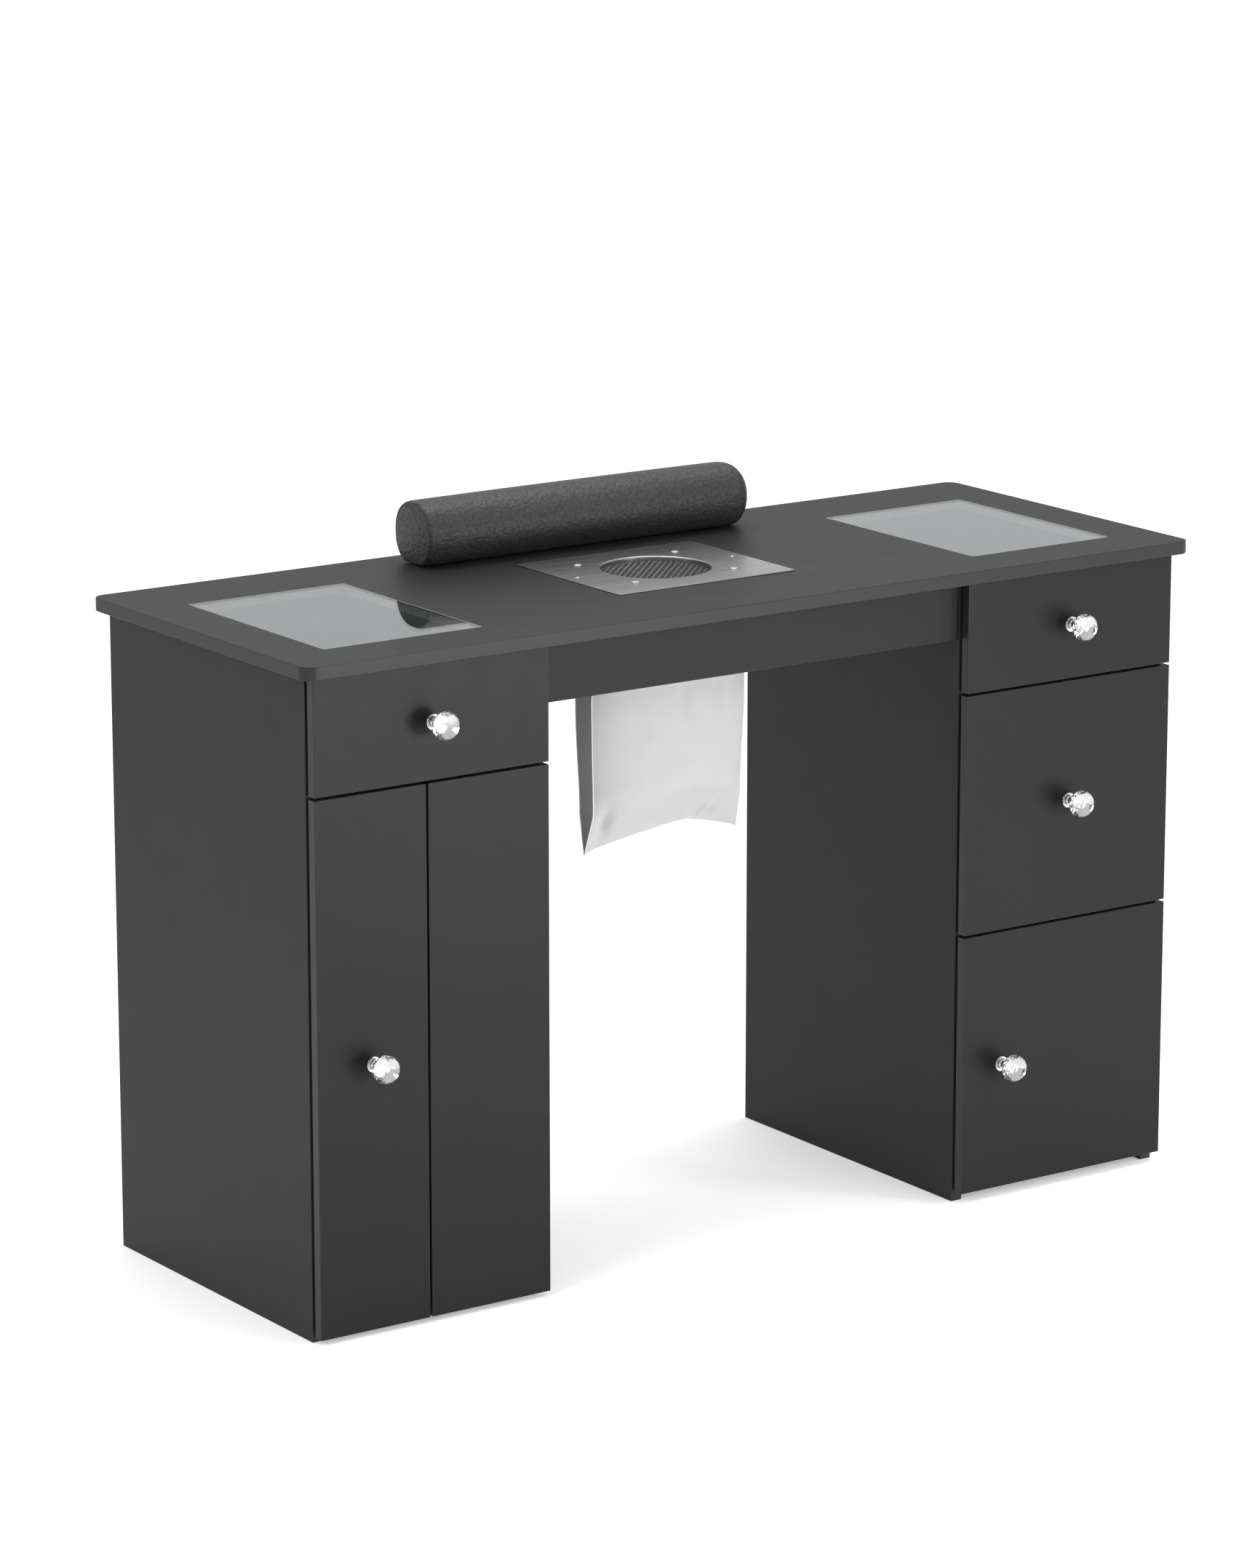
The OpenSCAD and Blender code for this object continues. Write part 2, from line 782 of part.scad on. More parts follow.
side_panel(-out_x);  // left_outer_side
side_panel(-knee_x - board_t);  // left_inner_side
back_panel(-out_x + board_t);  // left_back
level_board(-out_x + board_t, bottom_z);  // left_bottom
level_board(-out_x + board_t, shelf_z);  // left_shelf
left_partition();
side_panel(knee_x);  // right_inner_side
side_panel(out_x - board_t);  // right_outer_side
back_panel(knee_x + board_t);  // right_back
level_board(knee_x + board_t, bottom_z);  // right_bottom
level_board(knee_x + board_t, shelf_z);  // right_shelf
level_board(knee_x + board_t, divider_z);  // right_divider

runner_rails();
hinge_leaves();
latch_body();
latch_plunger();

front_board(left_l, left_r, upper_front_z, front_top_z, left_drawer_knob_at);  // left_drawer_front
drawer_box(-bay_mid_x, top_box_z, top_box_h, left_drawer_knob_at);  // left_drawer_box
sliders(-bay_mid_x - box_w / 2, -bay_mid_x + box_w / 2, top_runner_z);  // left_drawer_runners
knob_base(left_drawer_knob_at, drawer_grip);  // left_drawer_knob_base
knob_head(left_drawer_knob_at);  // left_drawer_knob

front_board(right_l, right_r, upper_front_z, front_top_z, right_drawer_knob_at);  // right_drawer_front
drawer_box(bay_mid_x, top_box_z, top_box_h, right_drawer_knob_at);  // right_drawer_box
sliders(bay_mid_x - box_w / 2, bay_mid_x + box_w / 2, top_runner_z);  // right_drawer_runners
knob_base(right_drawer_knob_at, drawer_grip);  // right_drawer_knob_base
knob_head(right_drawer_knob_at);  // right_drawer_knob

front_board(right_l, right_r, middle_front_z, lower_top_z, middle_drawer_knob_at);  // middle_drawer_front
drawer_box(bay_mid_x, middle_box_z, middle_box_h, middle_drawer_knob_at);  // middle_drawer_box
sliders(bay_mid_x - box_w / 2, bay_mid_x + box_w / 2, middle_runner_z);  // middle_drawer_runners
knob_base(middle_drawer_knob_at, drawer_grip);  // middle_drawer_knob_base
knob_head(middle_drawer_knob_at);  // middle_drawer_knob

front_board(left_l, split_l, left_front_z, lower_top_z, pullout_knob_at);  // pullout_front
pullout_rack();
for (z = rack_runner_zs) sliders(rack_l, rack_r, z);  // pullout_runners
knob_base(pullout_knob_at, front_t);  // pullout_knob_base
knob_head(pullout_knob_at);  // pullout_knob

front_board(split_r, left_r, left_front_z, lower_top_z, undef);  // left_door
for (z = left_hinge_zs) door_hinge(left_hinge_x, z);  // left_door_leaves
front_board(right_l, right_r, right_front_z, door_top_z, door_knob_at);  // right_door
for (z = right_hinge_zs) door_hinge(right_hinge_x, z);  // right_door_leaves
knob_base(door_knob_at, front_t);  // right_door_knob_base
knob_head(door_knob_at);  // right_door_knob
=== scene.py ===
import math

import bmesh
import bpy
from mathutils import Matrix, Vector, geometry, noise
from mathutils.bvhtree import BVHTree


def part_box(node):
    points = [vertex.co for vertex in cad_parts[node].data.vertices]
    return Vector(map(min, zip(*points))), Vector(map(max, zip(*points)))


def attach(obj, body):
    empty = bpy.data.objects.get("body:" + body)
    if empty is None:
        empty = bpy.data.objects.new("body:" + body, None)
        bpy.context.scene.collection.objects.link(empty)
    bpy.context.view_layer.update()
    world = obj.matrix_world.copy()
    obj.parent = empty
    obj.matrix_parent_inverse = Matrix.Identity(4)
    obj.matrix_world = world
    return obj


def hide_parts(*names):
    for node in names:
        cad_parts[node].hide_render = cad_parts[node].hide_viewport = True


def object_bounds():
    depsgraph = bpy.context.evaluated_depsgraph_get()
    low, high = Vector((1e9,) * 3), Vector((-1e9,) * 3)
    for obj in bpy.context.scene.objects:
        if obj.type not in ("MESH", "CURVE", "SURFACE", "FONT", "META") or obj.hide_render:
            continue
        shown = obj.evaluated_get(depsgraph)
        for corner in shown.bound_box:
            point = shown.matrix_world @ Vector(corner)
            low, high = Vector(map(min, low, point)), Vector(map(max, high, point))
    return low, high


# Manicure table: finished materials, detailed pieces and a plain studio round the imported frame.
# Everything is in metres in the frame's own axes: +Z is up and -Y is the drawer side.

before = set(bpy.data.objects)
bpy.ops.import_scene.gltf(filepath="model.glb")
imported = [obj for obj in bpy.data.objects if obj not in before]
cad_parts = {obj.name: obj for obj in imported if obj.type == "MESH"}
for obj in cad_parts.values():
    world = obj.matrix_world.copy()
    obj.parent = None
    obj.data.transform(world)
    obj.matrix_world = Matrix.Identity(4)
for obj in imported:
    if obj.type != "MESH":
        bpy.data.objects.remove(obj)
cad_low, cad_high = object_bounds()

MM = 0.001
TURN = 2 * math.pi
QUARTER_TURN = math.pi / 2
UP = Vector((0, 0, 1))


# ---- materials ----

# Most values of a noise texture, and most distances of a cell texture, lie between these.
NOISE_SPAN = (0.35, 0.65)
CELL_SPAN = (0.1, 0.6)


class Shader:
    """A material being wired: one Principled surface and the nodes that feed it."""

    def __init__(self, name, **constants):
        self.material = bpy.data.materials.new(name)
        self.material.use_nodes = True
        self.tree = self.material.node_tree
        self.surface = self.tree.nodes["Principled BSDF"]
        for socket, value in constants.items():
            self.surface.inputs[socket.replace("_", " ")].default_value = value
        self.point = self.node("TexCoord")["Object"]

    def node(self, kind, inputs=None, **settings):
        node = self.tree.nodes.new("ShaderNode" + kind)
        for name, value in settings.items():
            setattr(node, name, value)
        for socket, value in (inputs or {}).items():
            if isinstance(value, bpy.types.NodeSocket):
                self.tree.links.new(value, node.inputs[socket])
            else:
                node.inputs[socket].default_value = value
        return node.outputs

    def feed(self, socket, value):
        self.tree.links.new(value, self.surface.inputs[socket])

    def stretched(self, *scale):
        return self.node("Mapping", {"Vector": self.point, "Scale": scale})["Vector"]

    def noise(self, scale, detail=3, point=None, distortion=0.0):
        return self.node("TexNoise", {
            "Vector": point or self.point, "Scale": scale, "Detail": detail, "Distortion": distortion,
        })["Fac"]

    def cells(self, scale, point=None, feature="SMOOTH_F1", randomness=1.0):
        return self.node("TexVoronoi", {
            "Vector": point or self.point, "Scale": scale, "Randomness": randomness,
        }, feature=feature)["Distance"]

    def math(self, operation, a, b):
        return self.node("Math", {0: a, 1: b}, operation=operation)["Value"]

    def span(self, factor, low, high, ends=NOISE_SPAN):
        """A number that goes from low to high as the factor goes between its two ends."""
        return self.node("MapRange", {
            "Value": factor, "From Min": ends[0], "From Max": ends[1], "To Min": low, "To Max": high,
        })["Result"]

    def shades(self, factor, first, last, ends=NOISE_SPAN):
        """A colour that goes from first to last as the factor goes between its two ends."""
        ramp = self.tree.nodes.new("ShaderNodeValToRGB")
        self.tree.links.new(factor, ramp.inputs["Fac"])
        for stop, position, colour in zip(ramp.color_ramp.elements, ends, (first, last)):
            stop.position = position
            stop.color = (*colour, 1.0)
        return ramp.outputs["Color"]

    def bump(self, height, distance, strength=1.0):
        self.feed("Normal", self.node("Bump", {
            "Height": height, "Distance": distance, "Strength": strength,
        })["Normal"])


def grey(level, warmth=0.0):
    return (level * (1 + warmth), level, level * (1 - warmth))


def laminate(name, level, rough, gloss, warmth=-0.01):
    """Melamine-faced board: near black and even, with a fine pearl to its surface."""
    shader = Shader(name, IOR=1.5, Specular_IOR_Level=gloss)
    clouds = shader.noise(5, 3)
    pearl = shader.noise(1500, 2)
    darker, lighter = grey(level * 0.93, warmth), grey(level * 1.07, warmth)
    shader.feed("Base Color", shader.shades(clouds, darker, lighter))
    shader.feed("Roughness", shader.span(shader.noise(30, 4), rough - 0.012, rough + 0.012))
    shader.bump(pearl, 0.04 * MM, 0.3)
    return shader.material


def cut_board(name):
    """Bare particle board inside the glass windows: pressed chips under a thin grey sealer."""
    shader = Shader(name, IOR=1.45)
    chips = shader.cells(700, feature="F1")
    dark_chip, light_chip = grey(0.16, 0.10), grey(0.30, 0.10)
    shader.feed("Base Color", shader.shades(chips, dark_chip, light_chip, (0.1, 0.7)))
    shader.feed("Roughness", shader.span(chips, 0.7, 0.85))
    shader.bump(chips, 0.2 * MM, 0.5)
    return shader.material


def brushed_steel(name):
    """Stainless sheet with fine brush lines running across the table."""
    shader = Shader(name, Metallic=1.0)
    lines = shader.noise(1, 4, shader.stretched(14, 1900, 14))
    streaks = shader.noise(1, 3, shader.stretched(4, 160, 4))
    shader.feed("Base Color", shader.shades(streaks, grey(0.36, 0.01), grey(0.42, 0.01)))
    shader.feed("Roughness", shader.span(lines, 0.27, 0.36))
    shader.bump(lines, 0.012 * MM, 0.5)
    return shader.material


def bright_metal(name, level, rough, warmth=0.0):
    """Plated steel: even, with faint blooms in the plating."""
    shader = Shader(name, Metallic=1.0)
    blooms = shader.noise(160, 5)
    shader.feed("Base Color", shader.shades(blooms, grey(level * 0.88, warmth), grey(level, warmth)))
    shader.feed("Roughness", shader.span(blooms, rough * 0.75, rough * 1.3))
    shader.bump(shader.noise(2400, 2), 0.008 * MM, 0.4)
    return shader.material


def plastic(name, colour, rough):
    """Moulded plastic with a fine spark-eroded texture."""
    shader = Shader(name, IOR=1.5)
    grain = shader.noise(1100, 3)
    mottle = shader.noise(30, 3)
    darker = tuple(0.85 * c for c in colour)
    shader.feed("Base Color", shader.shades(mottle, darker, colour))
    shader.feed("Roughness", shader.span(grain, rough - 0.06, rough + 0.06))
    shader.bump(grain, 0.06 * MM, 0.4)
    return shader.material


def leather(name, level, rough):
    """Black imitation leather: rounded pebbles of uneven size with fine pores between them."""
    shader = Shader(name, IOR=1.5)
    unevenness = 4 * MM
    warp = shader.node("TexNoise", {"Vector": shader.point, "Scale": 90.0, "Detail": 3.0})["Color"]
    centred = shader.node("VectorMath", {0: warp, 1: (0.5, 0.5, 0.5)}, operation="SUBTRACT")["Vector"]
    drift = shader.node("VectorMath", {0: centred, "Scale": unevenness}, operation="SCALE")["Vector"]
    point = shader.node("VectorMath", {0: shader.point, 1: drift}, operation="ADD")["Vector"]
    pebbles = shader.cells(300, point)
    folds = shader.cells(190, point)
    pores = shader.noise(1500, 3)
    relief = shader.math("ADD", pebbles, shader.math("MULTIPLY", folds, 0.4))
    relief = shader.math("ADD", relief, shader.math("MULTIPLY", pores, 0.10))
    # Painted light and shade: the base colour is lighter on the pebbles' crowns and darker in the
    # creases between them, on top of the bump's own relief.
    crown, crease = grey(level * 1.15), grey(level * 0.65)
    shader.feed("Base Color", shader.shades(pebbles, crown, crease, CELL_SPAN))
    shader.feed("Roughness", shader.span(pebbles, rough - 0.05, rough + 0.08, CELL_SPAN))
    shader.bump(shader.math("MULTIPLY", relief, -1.0), 0.62 * MM, 1.0)
    return shader.material


def nonwoven(name, level):
    """White spunbonded fabric: matted fibres held by a close lattice of pressed dots."""
    shader = Shader(name, IOR=1.4, Sheen_Weight=0.25, Sheen_Roughness=0.5)
    fibres = shader.noise(900, 4, distortion=1.5)
    dots = shader.cells(620, randomness=0.15)
    clouds = shader.noise(40, 4)
    shader.feed("Base Color", shader.shades(clouds, grey(level * 0.97, 0.004), grey(level, 0.004)))
    shader.feed("Roughness", shader.span(fibres, 0.85, 0.97))
    relief = shader.math("ADD", fibres, shader.math("MULTIPLY", dots, 0.8))
    shader.bump(relief, 0.08 * MM, 0.5)
    return shader.material


def clear_glass(name, tint, rough):
    """Clear glass, polished, with the faintest streaks in its tint."""
    shader = Shader(name, IOR=1.52, Transmission_Weight=1.0)
    streaks = shader.noise(6, 2)
    shader.feed("Base Color", shader.shades(streaks, tuple(0.985 * c for c in tint), tint))
    shader.feed("Roughness", shader.span(shader.noise(60, 3), rough, rough + 0.006))
    return shader.material


def ground_glass(name):
    """The pane's edges: ground flat, so they scatter the light that comes through the glass."""
    shader = Shader(name, IOR=1.52)
    grind = shader.noise(1400, 3)
    shader.feed("Base Color", shader.shades(grind, (0.20, 0.20, 0.19), (0.27, 0.27, 0.255)))
    shader.feed("Roughness", shader.span(grind, 0.45, 0.6))
    shader.bump(grind, 0.05 * MM, 0.5)
    return shader.material


TOP_LAMINATE = laminate("top_laminate", level=0.014, rough=0.50, gloss=0.23)
FRONT_LAMINATE = laminate("front_laminate", level=0.0075, rough=0.40, gloss=0.22)
CARCASS_LAMINATE = laminate("carcass_laminate", level=0.011, rough=0.48, gloss=0.20)
EDGE_BAND = laminate("edge_band", level=0.017, rough=0.42, gloss=0.30)
DRAWER_BOARD = laminate("drawer_board", level=0.030, rough=0.50, gloss=0.30, warmth=0.03)
CUT_BOARD = cut_board("cut_board")
GLASS = clear_glass("window_glass", tint=(0.80, 0.90, 0.94), rough=0.0)
GROUND_EDGE = ground_glass("ground_edge")
CRYSTAL = clear_glass("crystal", tint=(0.93, 0.94, 0.95), rough=0.0)
SILVERING = bright_metal("silvering", level=0.66, rough=0.06)
CHROME = bright_metal("chrome", level=0.80, rough=0.09)
PLATE_STEEL = brushed_steel("brushed_plate")
WIRE = bright_metal("mesh_wire", level=0.17, rough=0.50)
SCREW_STEEL = bright_metal("screw_steel", level=0.62, rough=0.46)
RUNNER_STEEL = bright_metal("runner_steel", level=0.58, rough=0.34)
HINGE_STEEL = bright_metal("hinge_steel", level=0.62, rough=0.26)
SHAFT_STEEL = bright_metal("shaft_steel", level=0.66, rough=0.15)
FAN_PLASTIC = plastic("fan_plastic", colour=grey(0.018), rough=0.42)
INLET_PLASTIC = plastic("inlet_plastic", colour=grey(0.014), rough=0.45)
ROCKER_PLASTIC = plastic("rocker_plastic", colour=(0.30, 0.015, 0.012), rough=0.30)
COLLAR_PLASTIC = plastic("collar_plastic", colour=grey(0.62, 0.01), rough=0.40)
LATCH_PLASTIC = plastic("latch_plastic", colour=grey(0.60, 0.02), rough=0.40)
LEATHER = leather("cushion_leather", level=0.031, rough=0.48)
BAG_FABRIC = nonwoven("bag_fabric", level=0.485)
BAG_THREAD = nonwoven("bag_thread", level=0.80)


# ---- making meshes ----

SAME_PLACE = 0.0001 * MM


def finished(name, bm, materials, sharp_angle=35):
    """A new object from a bmesh, smooth except where faces meet at more than an angle."""
    bmesh.ops.remove_doubles(bm, verts=bm.verts, dist=SAME_PLACE)
    bmesh.ops.recalc_face_normals(bm, faces=bm.faces)
    mesh = bpy.data.meshes.new(name)
    bm.to_mesh(mesh)
    bm.free()
    for material in materials:
        mesh.materials.append(material)
    mesh.shade_smooth()
    mesh.set_sharp_from_angle(angle=math.radians(sharp_angle))
    piece = bpy.data.objects.new(name, mesh)
    bpy.context.scene.collection.objects.link(piece)
    return piece


def even_shading(piece):
    weighted = piece.modifiers.new("even_shading", "WEIGHTED_NORMAL")
    weighted.mode = "FACE_AREA"
    weighted.keep_sharp = True
    return piece


def settle(piece, body, slot, *nodes):
    """The piece rides on a body and stands in for CAD nodes, which it hides. The slot argument is not
    used.
    """
    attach(piece, body)
    if nodes:
        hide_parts(*nodes)
    return piece


def strip(bm, first, second, material=0, closed=True):
    """Faces between two rows of vertices with the same count."""
    count = len(first)
    for i in range(count if closed else count - 1):
        j = (i + 1) % count
        corners = []
        for vert in (first[i], first[j], second[j], second[i]):
            if vert not in corners:
                corners.append(vert)
        if len(corners) > 2:
            bm.faces.new(corners).material_index = material


def eased(low, high, radius, steps=3):
    """Rim of a board from its upper face to its lower one, with both arrises rounded."""
    upper = []
    for step in range(steps + 1):
        angle = QUARTER_TURN * step / steps
        upper.append((radius * (math.sin(angle) - 1), high - radius * (1 - math.cos(angle))))
    return upper + [(grow, low + high - level) for grow, level in reversed(upper)]


def rectangle(u0, v0, u1, v1, radius, steps=5):
    """Outline of a rounded rectangle, as a function of how far it is grown."""
    smallest = 0.02 * MM

    def outline(grow):
        r = max(radius + grow, smallest)
        corners = ((u1, v1, 0), (u0, v1, 1), (u0, v0, 2), (u1, v0, 3))
        points = []
        for u, v, quarter in corners:
            cu = u - radius if u == u1 else u + radius
            cv = v - radius if v == v1 else v + radius
            for step in range(steps + 1):
                angle = (quarter + step / steps) * QUARTER_TURN
                points.append((cu + r * math.cos(angle), cv + r * math.sin(angle)))
        return points
    return outline


def circle(u, v, radius, steps=96):
    """Outline of a circle, as a function of how far it is grown."""
    def outline(grow):
        return [(u + (radius + grow) * math.cos(TURN * i / steps),
                 v + (radius + grow) * math.sin(TURN * i / steps)) for i in range(steps)]
    return outline


AXES = {
    "x": lambda u, v, w: Vector((w, u, v)),
    "y": lambda u, v, w: Vector((u, w, v)),
    "z": lambda u, v, w: Vector((u, v, w)),
}


def slab(bm, axis, shapes):
    """A flat plate across an axis. Each shape is an outline and its rim's (grow, level) pairs,
    the plate's own first and then its holes. Faces are material 0, and rims are material 1 on."""
    at = AXES[axis]
    ends = ([], [])
    for number, (outline, rim) in enumerate(shapes):
        rings = [[bm.verts.new(at(u, v, level)) for u, v in outline(grow)] for grow, level in rim]
        for upper, lower in zip(rings, rings[1:]):
            strip(bm, upper, lower, 1 if number == 0 else 2)
        ends[0].append(rings[0])
        ends[1].append(rings[-1])
    for loops in ends:
        if len(loops) == 1:
            bm.faces.new(loops[0])
            continue
        flat = [vert for loop in loops for vert in loop]
        for corners in geometry.tessellate_polygon([[vert.co for vert in loop] for loop in loops]):
            bm.faces.new([flat[i] for i in corners])


def lathe(bm, base, outward, profile, steps=48, material=0):
    """Turns (radius, height) pairs round the line from base towards outward."""
    turn = outward.to_track_quat("Z", "Y")
    rings = []
    for radius, height in profile:
        if radius < SAME_PLACE:
            rings.append([bm.verts.new(base + turn @ Vector((0, 0, height)))] * steps)
            continue
        rings.append([bm.verts.new(base + turn @ Vector((
            radius * math.cos(TURN * i / steps), radius * math.sin(TURN * i / steps), height,
        ))) for i in range(steps)])
    for lower, upper in zip(rings, rings[1:]):
        strip(bm, lower, upper, material)
    return rings


def tube(bm, points, radius, sides=8, closed=False, material=0):
    """A round cord along points, with its ends closed if the line is open."""
    count = len(points)
    rings = []
    side = None
    for i, point in enumerate(points):
        before = points[i - 1] if closed or i else point
        after = points[(i + 1) % count] if closed or i < count - 1 else point
        ahead = (after - before).normalized()
        if side is None:
            side = ahead.orthogonal().normalized()
        side = (side - ahead * side.dot(ahead)).normalized()
        other = ahead.cross(side)
        rings.append([bm.verts.new(point + radius * (side * math.cos(TURN * k / sides)
                                                     + other * math.sin(TURN * k / sides)))
                      for k in range(sides)])
    for first, second in zip(rings, rings[1:]):
        strip(bm, first, second, material)
    if closed:
        shift = min(range(sides), key=lambda k: (rings[0][k].co - rings[-1][0].co).length)
        strip(bm, rings[-1], rings[0][shift:] + rings[0][:shift], material)
    else:
        bm.faces.new(rings[0]).material_index = material
        bm.faces.new(rings[-1]).material_index = material


def smoothstep(value):
    value = min(1.0, max(0.0, value))
    return value * value * (3 - 2 * value)


def middle(node):
    low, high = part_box(node)
    return (low + high) / 2


# ---- tabletop and what is set into it ----

VENT = middle("vent_plate")
TOP_LOW, TOP_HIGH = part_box("tabletop")
PANE_CORNER = 3 * MM


def make_tabletop():
    """Laminated top with rounded corners, two rebated glass windows and the fan's opening."""
    corner, edge_round, opening = 15 * MM, 0.8 * MM, 66 * MM
    play, ledge, arris = 0.3 * MM, -5 * MM, 0.4 * MM
    shapes = [(rectangle(TOP_LOW.x, TOP_LOW.y, TOP_HIGH.x, TOP_HIGH.y, corner, 12),
               eased(TOP_LOW.z, TOP_HIGH.z, edge_round))]
    for node in ("glass_left", "glass_right"):
        low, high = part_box(node)
        shapes.append((rectangle(low.x, low.y, high.x, high.y, PANE_CORNER), [
            (play + arris, TOP_HIGH.z), (play, TOP_HIGH.z - arris), (play, low.z),
            (ledge, low.z), (ledge, TOP_LOW.z),
        ]))
    shapes.append((circle(VENT.x, VENT.y, opening), [(0, TOP_HIGH.z), (0, TOP_LOW.z)]))
    bm = bmesh.new()
    slab(bm, "z", shapes)
    piece = even_shading(finished("tabletop_board", bm, [TOP_LAMINATE, EDGE_BAND, CUT_BOARD]))
    settle(piece, "root", "top_laminate", "tabletop")


def make_glass(side):
    """Polished pane with ground edges, flush with the top."""
    low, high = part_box("glass_" + side)
    ground = 0.4 * MM
    bm = bmesh.new()
    slab(bm, "z", [(rectangle(low.x, low.y, high.x, high.y, PANE_CORNER),
                    eased(low.z, high.z, ground, 1))])
    piece = finished(side + "_pane", bm, [GLASS, GROUND_EDGE], 20)
    settle(piece, "root", "glass", "glass_" + side)


def make_vent_plate():
    """Steel plate with small corners, rolled down into the fan's opening."""
    low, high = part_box("vent_plate")
    thick, roll, radius = 1.2 * MM, 1.8 * MM, 62.5 * MM
    corner, arris, roll_steps = 4 * MM, 0.3 * MM, 6
    lip = []
    for step in range(roll_steps + 1):
        angle = QUARTER_TURN * step / roll_steps
        lip.append((roll * (1 - math.sin(angle)), high.z - roll * (1 - math.cos(angle))))
    lip += [(0, low.z), (thick, low.z), (thick, high.z - thick)]
    bm = bmesh.new()
    slab(bm, "z", [
        (rectangle(low.x, low.y, high.x, high.y, corner, 8), eased(high.z - thick, high.z, arris)),
        (circle(VENT.x, VENT.y, radius, 128), lip),
    ])
    piece = even_shading(finished("vent_cover", bm, [PLATE_STEEL] * 3))
    settle(piece, "root", "brushed_plate", "vent_plate")


def make_vent_mesh():
    """Woven wire screen in a folded rim."""
    low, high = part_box("vent_mesh")
    radius = (high.x - low.x) / 2
    level = (low.z + high.z) / 2
    pitch, wire_r, swing, reach = 4.6 * MM, 0.52 * MM, 0.5 * MM, radius - 1.2 * MM
    rim_inner, rim_waist = radius - 2.4 * MM, radius - 2.8 * MM
    bm = bmesh.new()
    wires = int(reach / pitch)
    for across in (0, 1):
        for number in range(-wires, wires + 1):
            offset = number * pitch
            half = math.sqrt(reach ** 2 - offset ** 2)
            steps = max(8, int(half / pitch) * 6)
            points = []
            for step in range(steps + 1):
                along = -half + 2 * half * step / steps
                lift = swing * math.cos(math.pi * (along / pitch + number + across))
                x, y = (along, offset) if across else (offset, along)
                points.append(Vector((VENT.x + x, VENT.y + y, level + lift)))
            tube(bm, points, wire_r, 6)
    rim = [(rim_inner, low.z), (radius, low.z), (radius, high.z), (rim_inner, high.z),
           (rim_waist, level), (rim_inner, low.z)]
    lathe(bm, Vector((VENT.x, VENT.y, 0)), UP, rim, 96)
    settle(finished("wire_screen", bm, [WIRE]), "root", "mesh_wire", "vent_mesh")


def screw(bm, at, head_radius, head_height, shank_radius, shank_end):
    """Pan-head screw standing on the plate, with a cross recess."""
    rim_share = 0.25
    roundness = 3.2
    lathe(bm, Vector((at.x, at.y, 0)), UP, [
        (0, shank_end), (shank_radius * 0.6, shank_end), (shank_radius, shank_end + shank_radius),
        (shank_radius, at.z), (head_radius * 0.94, at.z), (head_radius, at.z + rim_share * head_height),
    ], 32)
    slot_half, slot_reach, depth = 0.13 * head_radius, 0.56 * head_radius, 0.75 * head_height
    side_slope, end_slope = 0.12 * head_radius, 0.15 * head_radius
    rings, spokes = 18, 64
    rows = []
    for ring in range(rings + 1):
        share = 1 - ring / rings
        row = []
        for spoke in range(spokes):
            angle = TURN * spoke / spokes
            x, y = head_radius * share * math.cos(angle), head_radius * share * math.sin(angle)
            crown = math.sqrt(max(0.0, 1 - share ** roundness))
            dome = at.z + head_height * (rim_share + (1 - rim_share) * crown)
            narrow, wide = sorted((abs(x), abs(y)))
            inside = smoothstep((slot_half - narrow) / side_slope + 0.5)
            inside *= smoothstep((slot_reach - wide) / end_slope + 0.5)
            row.append(bm.verts.new((at.x + x, at.y + y, dome - depth * inside)))
        rows.append(row)
    for outer, inner in zip(rows, rows[1:]):
        strip(bm, outer, inner)


def make_plate_screws():
    """Four screws that hold the fan, and a small one at each end of the plate."""
    fan_screws_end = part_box("plate_screws")[0].z
    small_screws_end = TOP_HIGH.z - 12 * MM
    plate_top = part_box("vent_plate")[1].z
    fan_half_x, fan_half_y, small_half_x = 67.3 * MM, 57.4 * MM, 106.5 * MM
    bm = bmesh.new()
    for sx in (-1, 1):
        for sy in (-1, 1):
            at = Vector((VENT.x + sx * fan_half_x, VENT.y + sy * fan_half_y, plate_top))
            screw(bm, at, 4.5 * MM, 1.3 * MM, 2 * MM, fan_screws_end)
        at = Vector((VENT.x + sx * small_half_x, VENT.y, plate_top))
        screw(bm, at, 2.4 * MM, 0.8 * MM, 1.3 * MM, small_screws_end)
    settle(finished("cross_head_screws", bm, [SCREW_STEEL]), "root", "screw_steel", "plate_screws")


# ---- fan ----

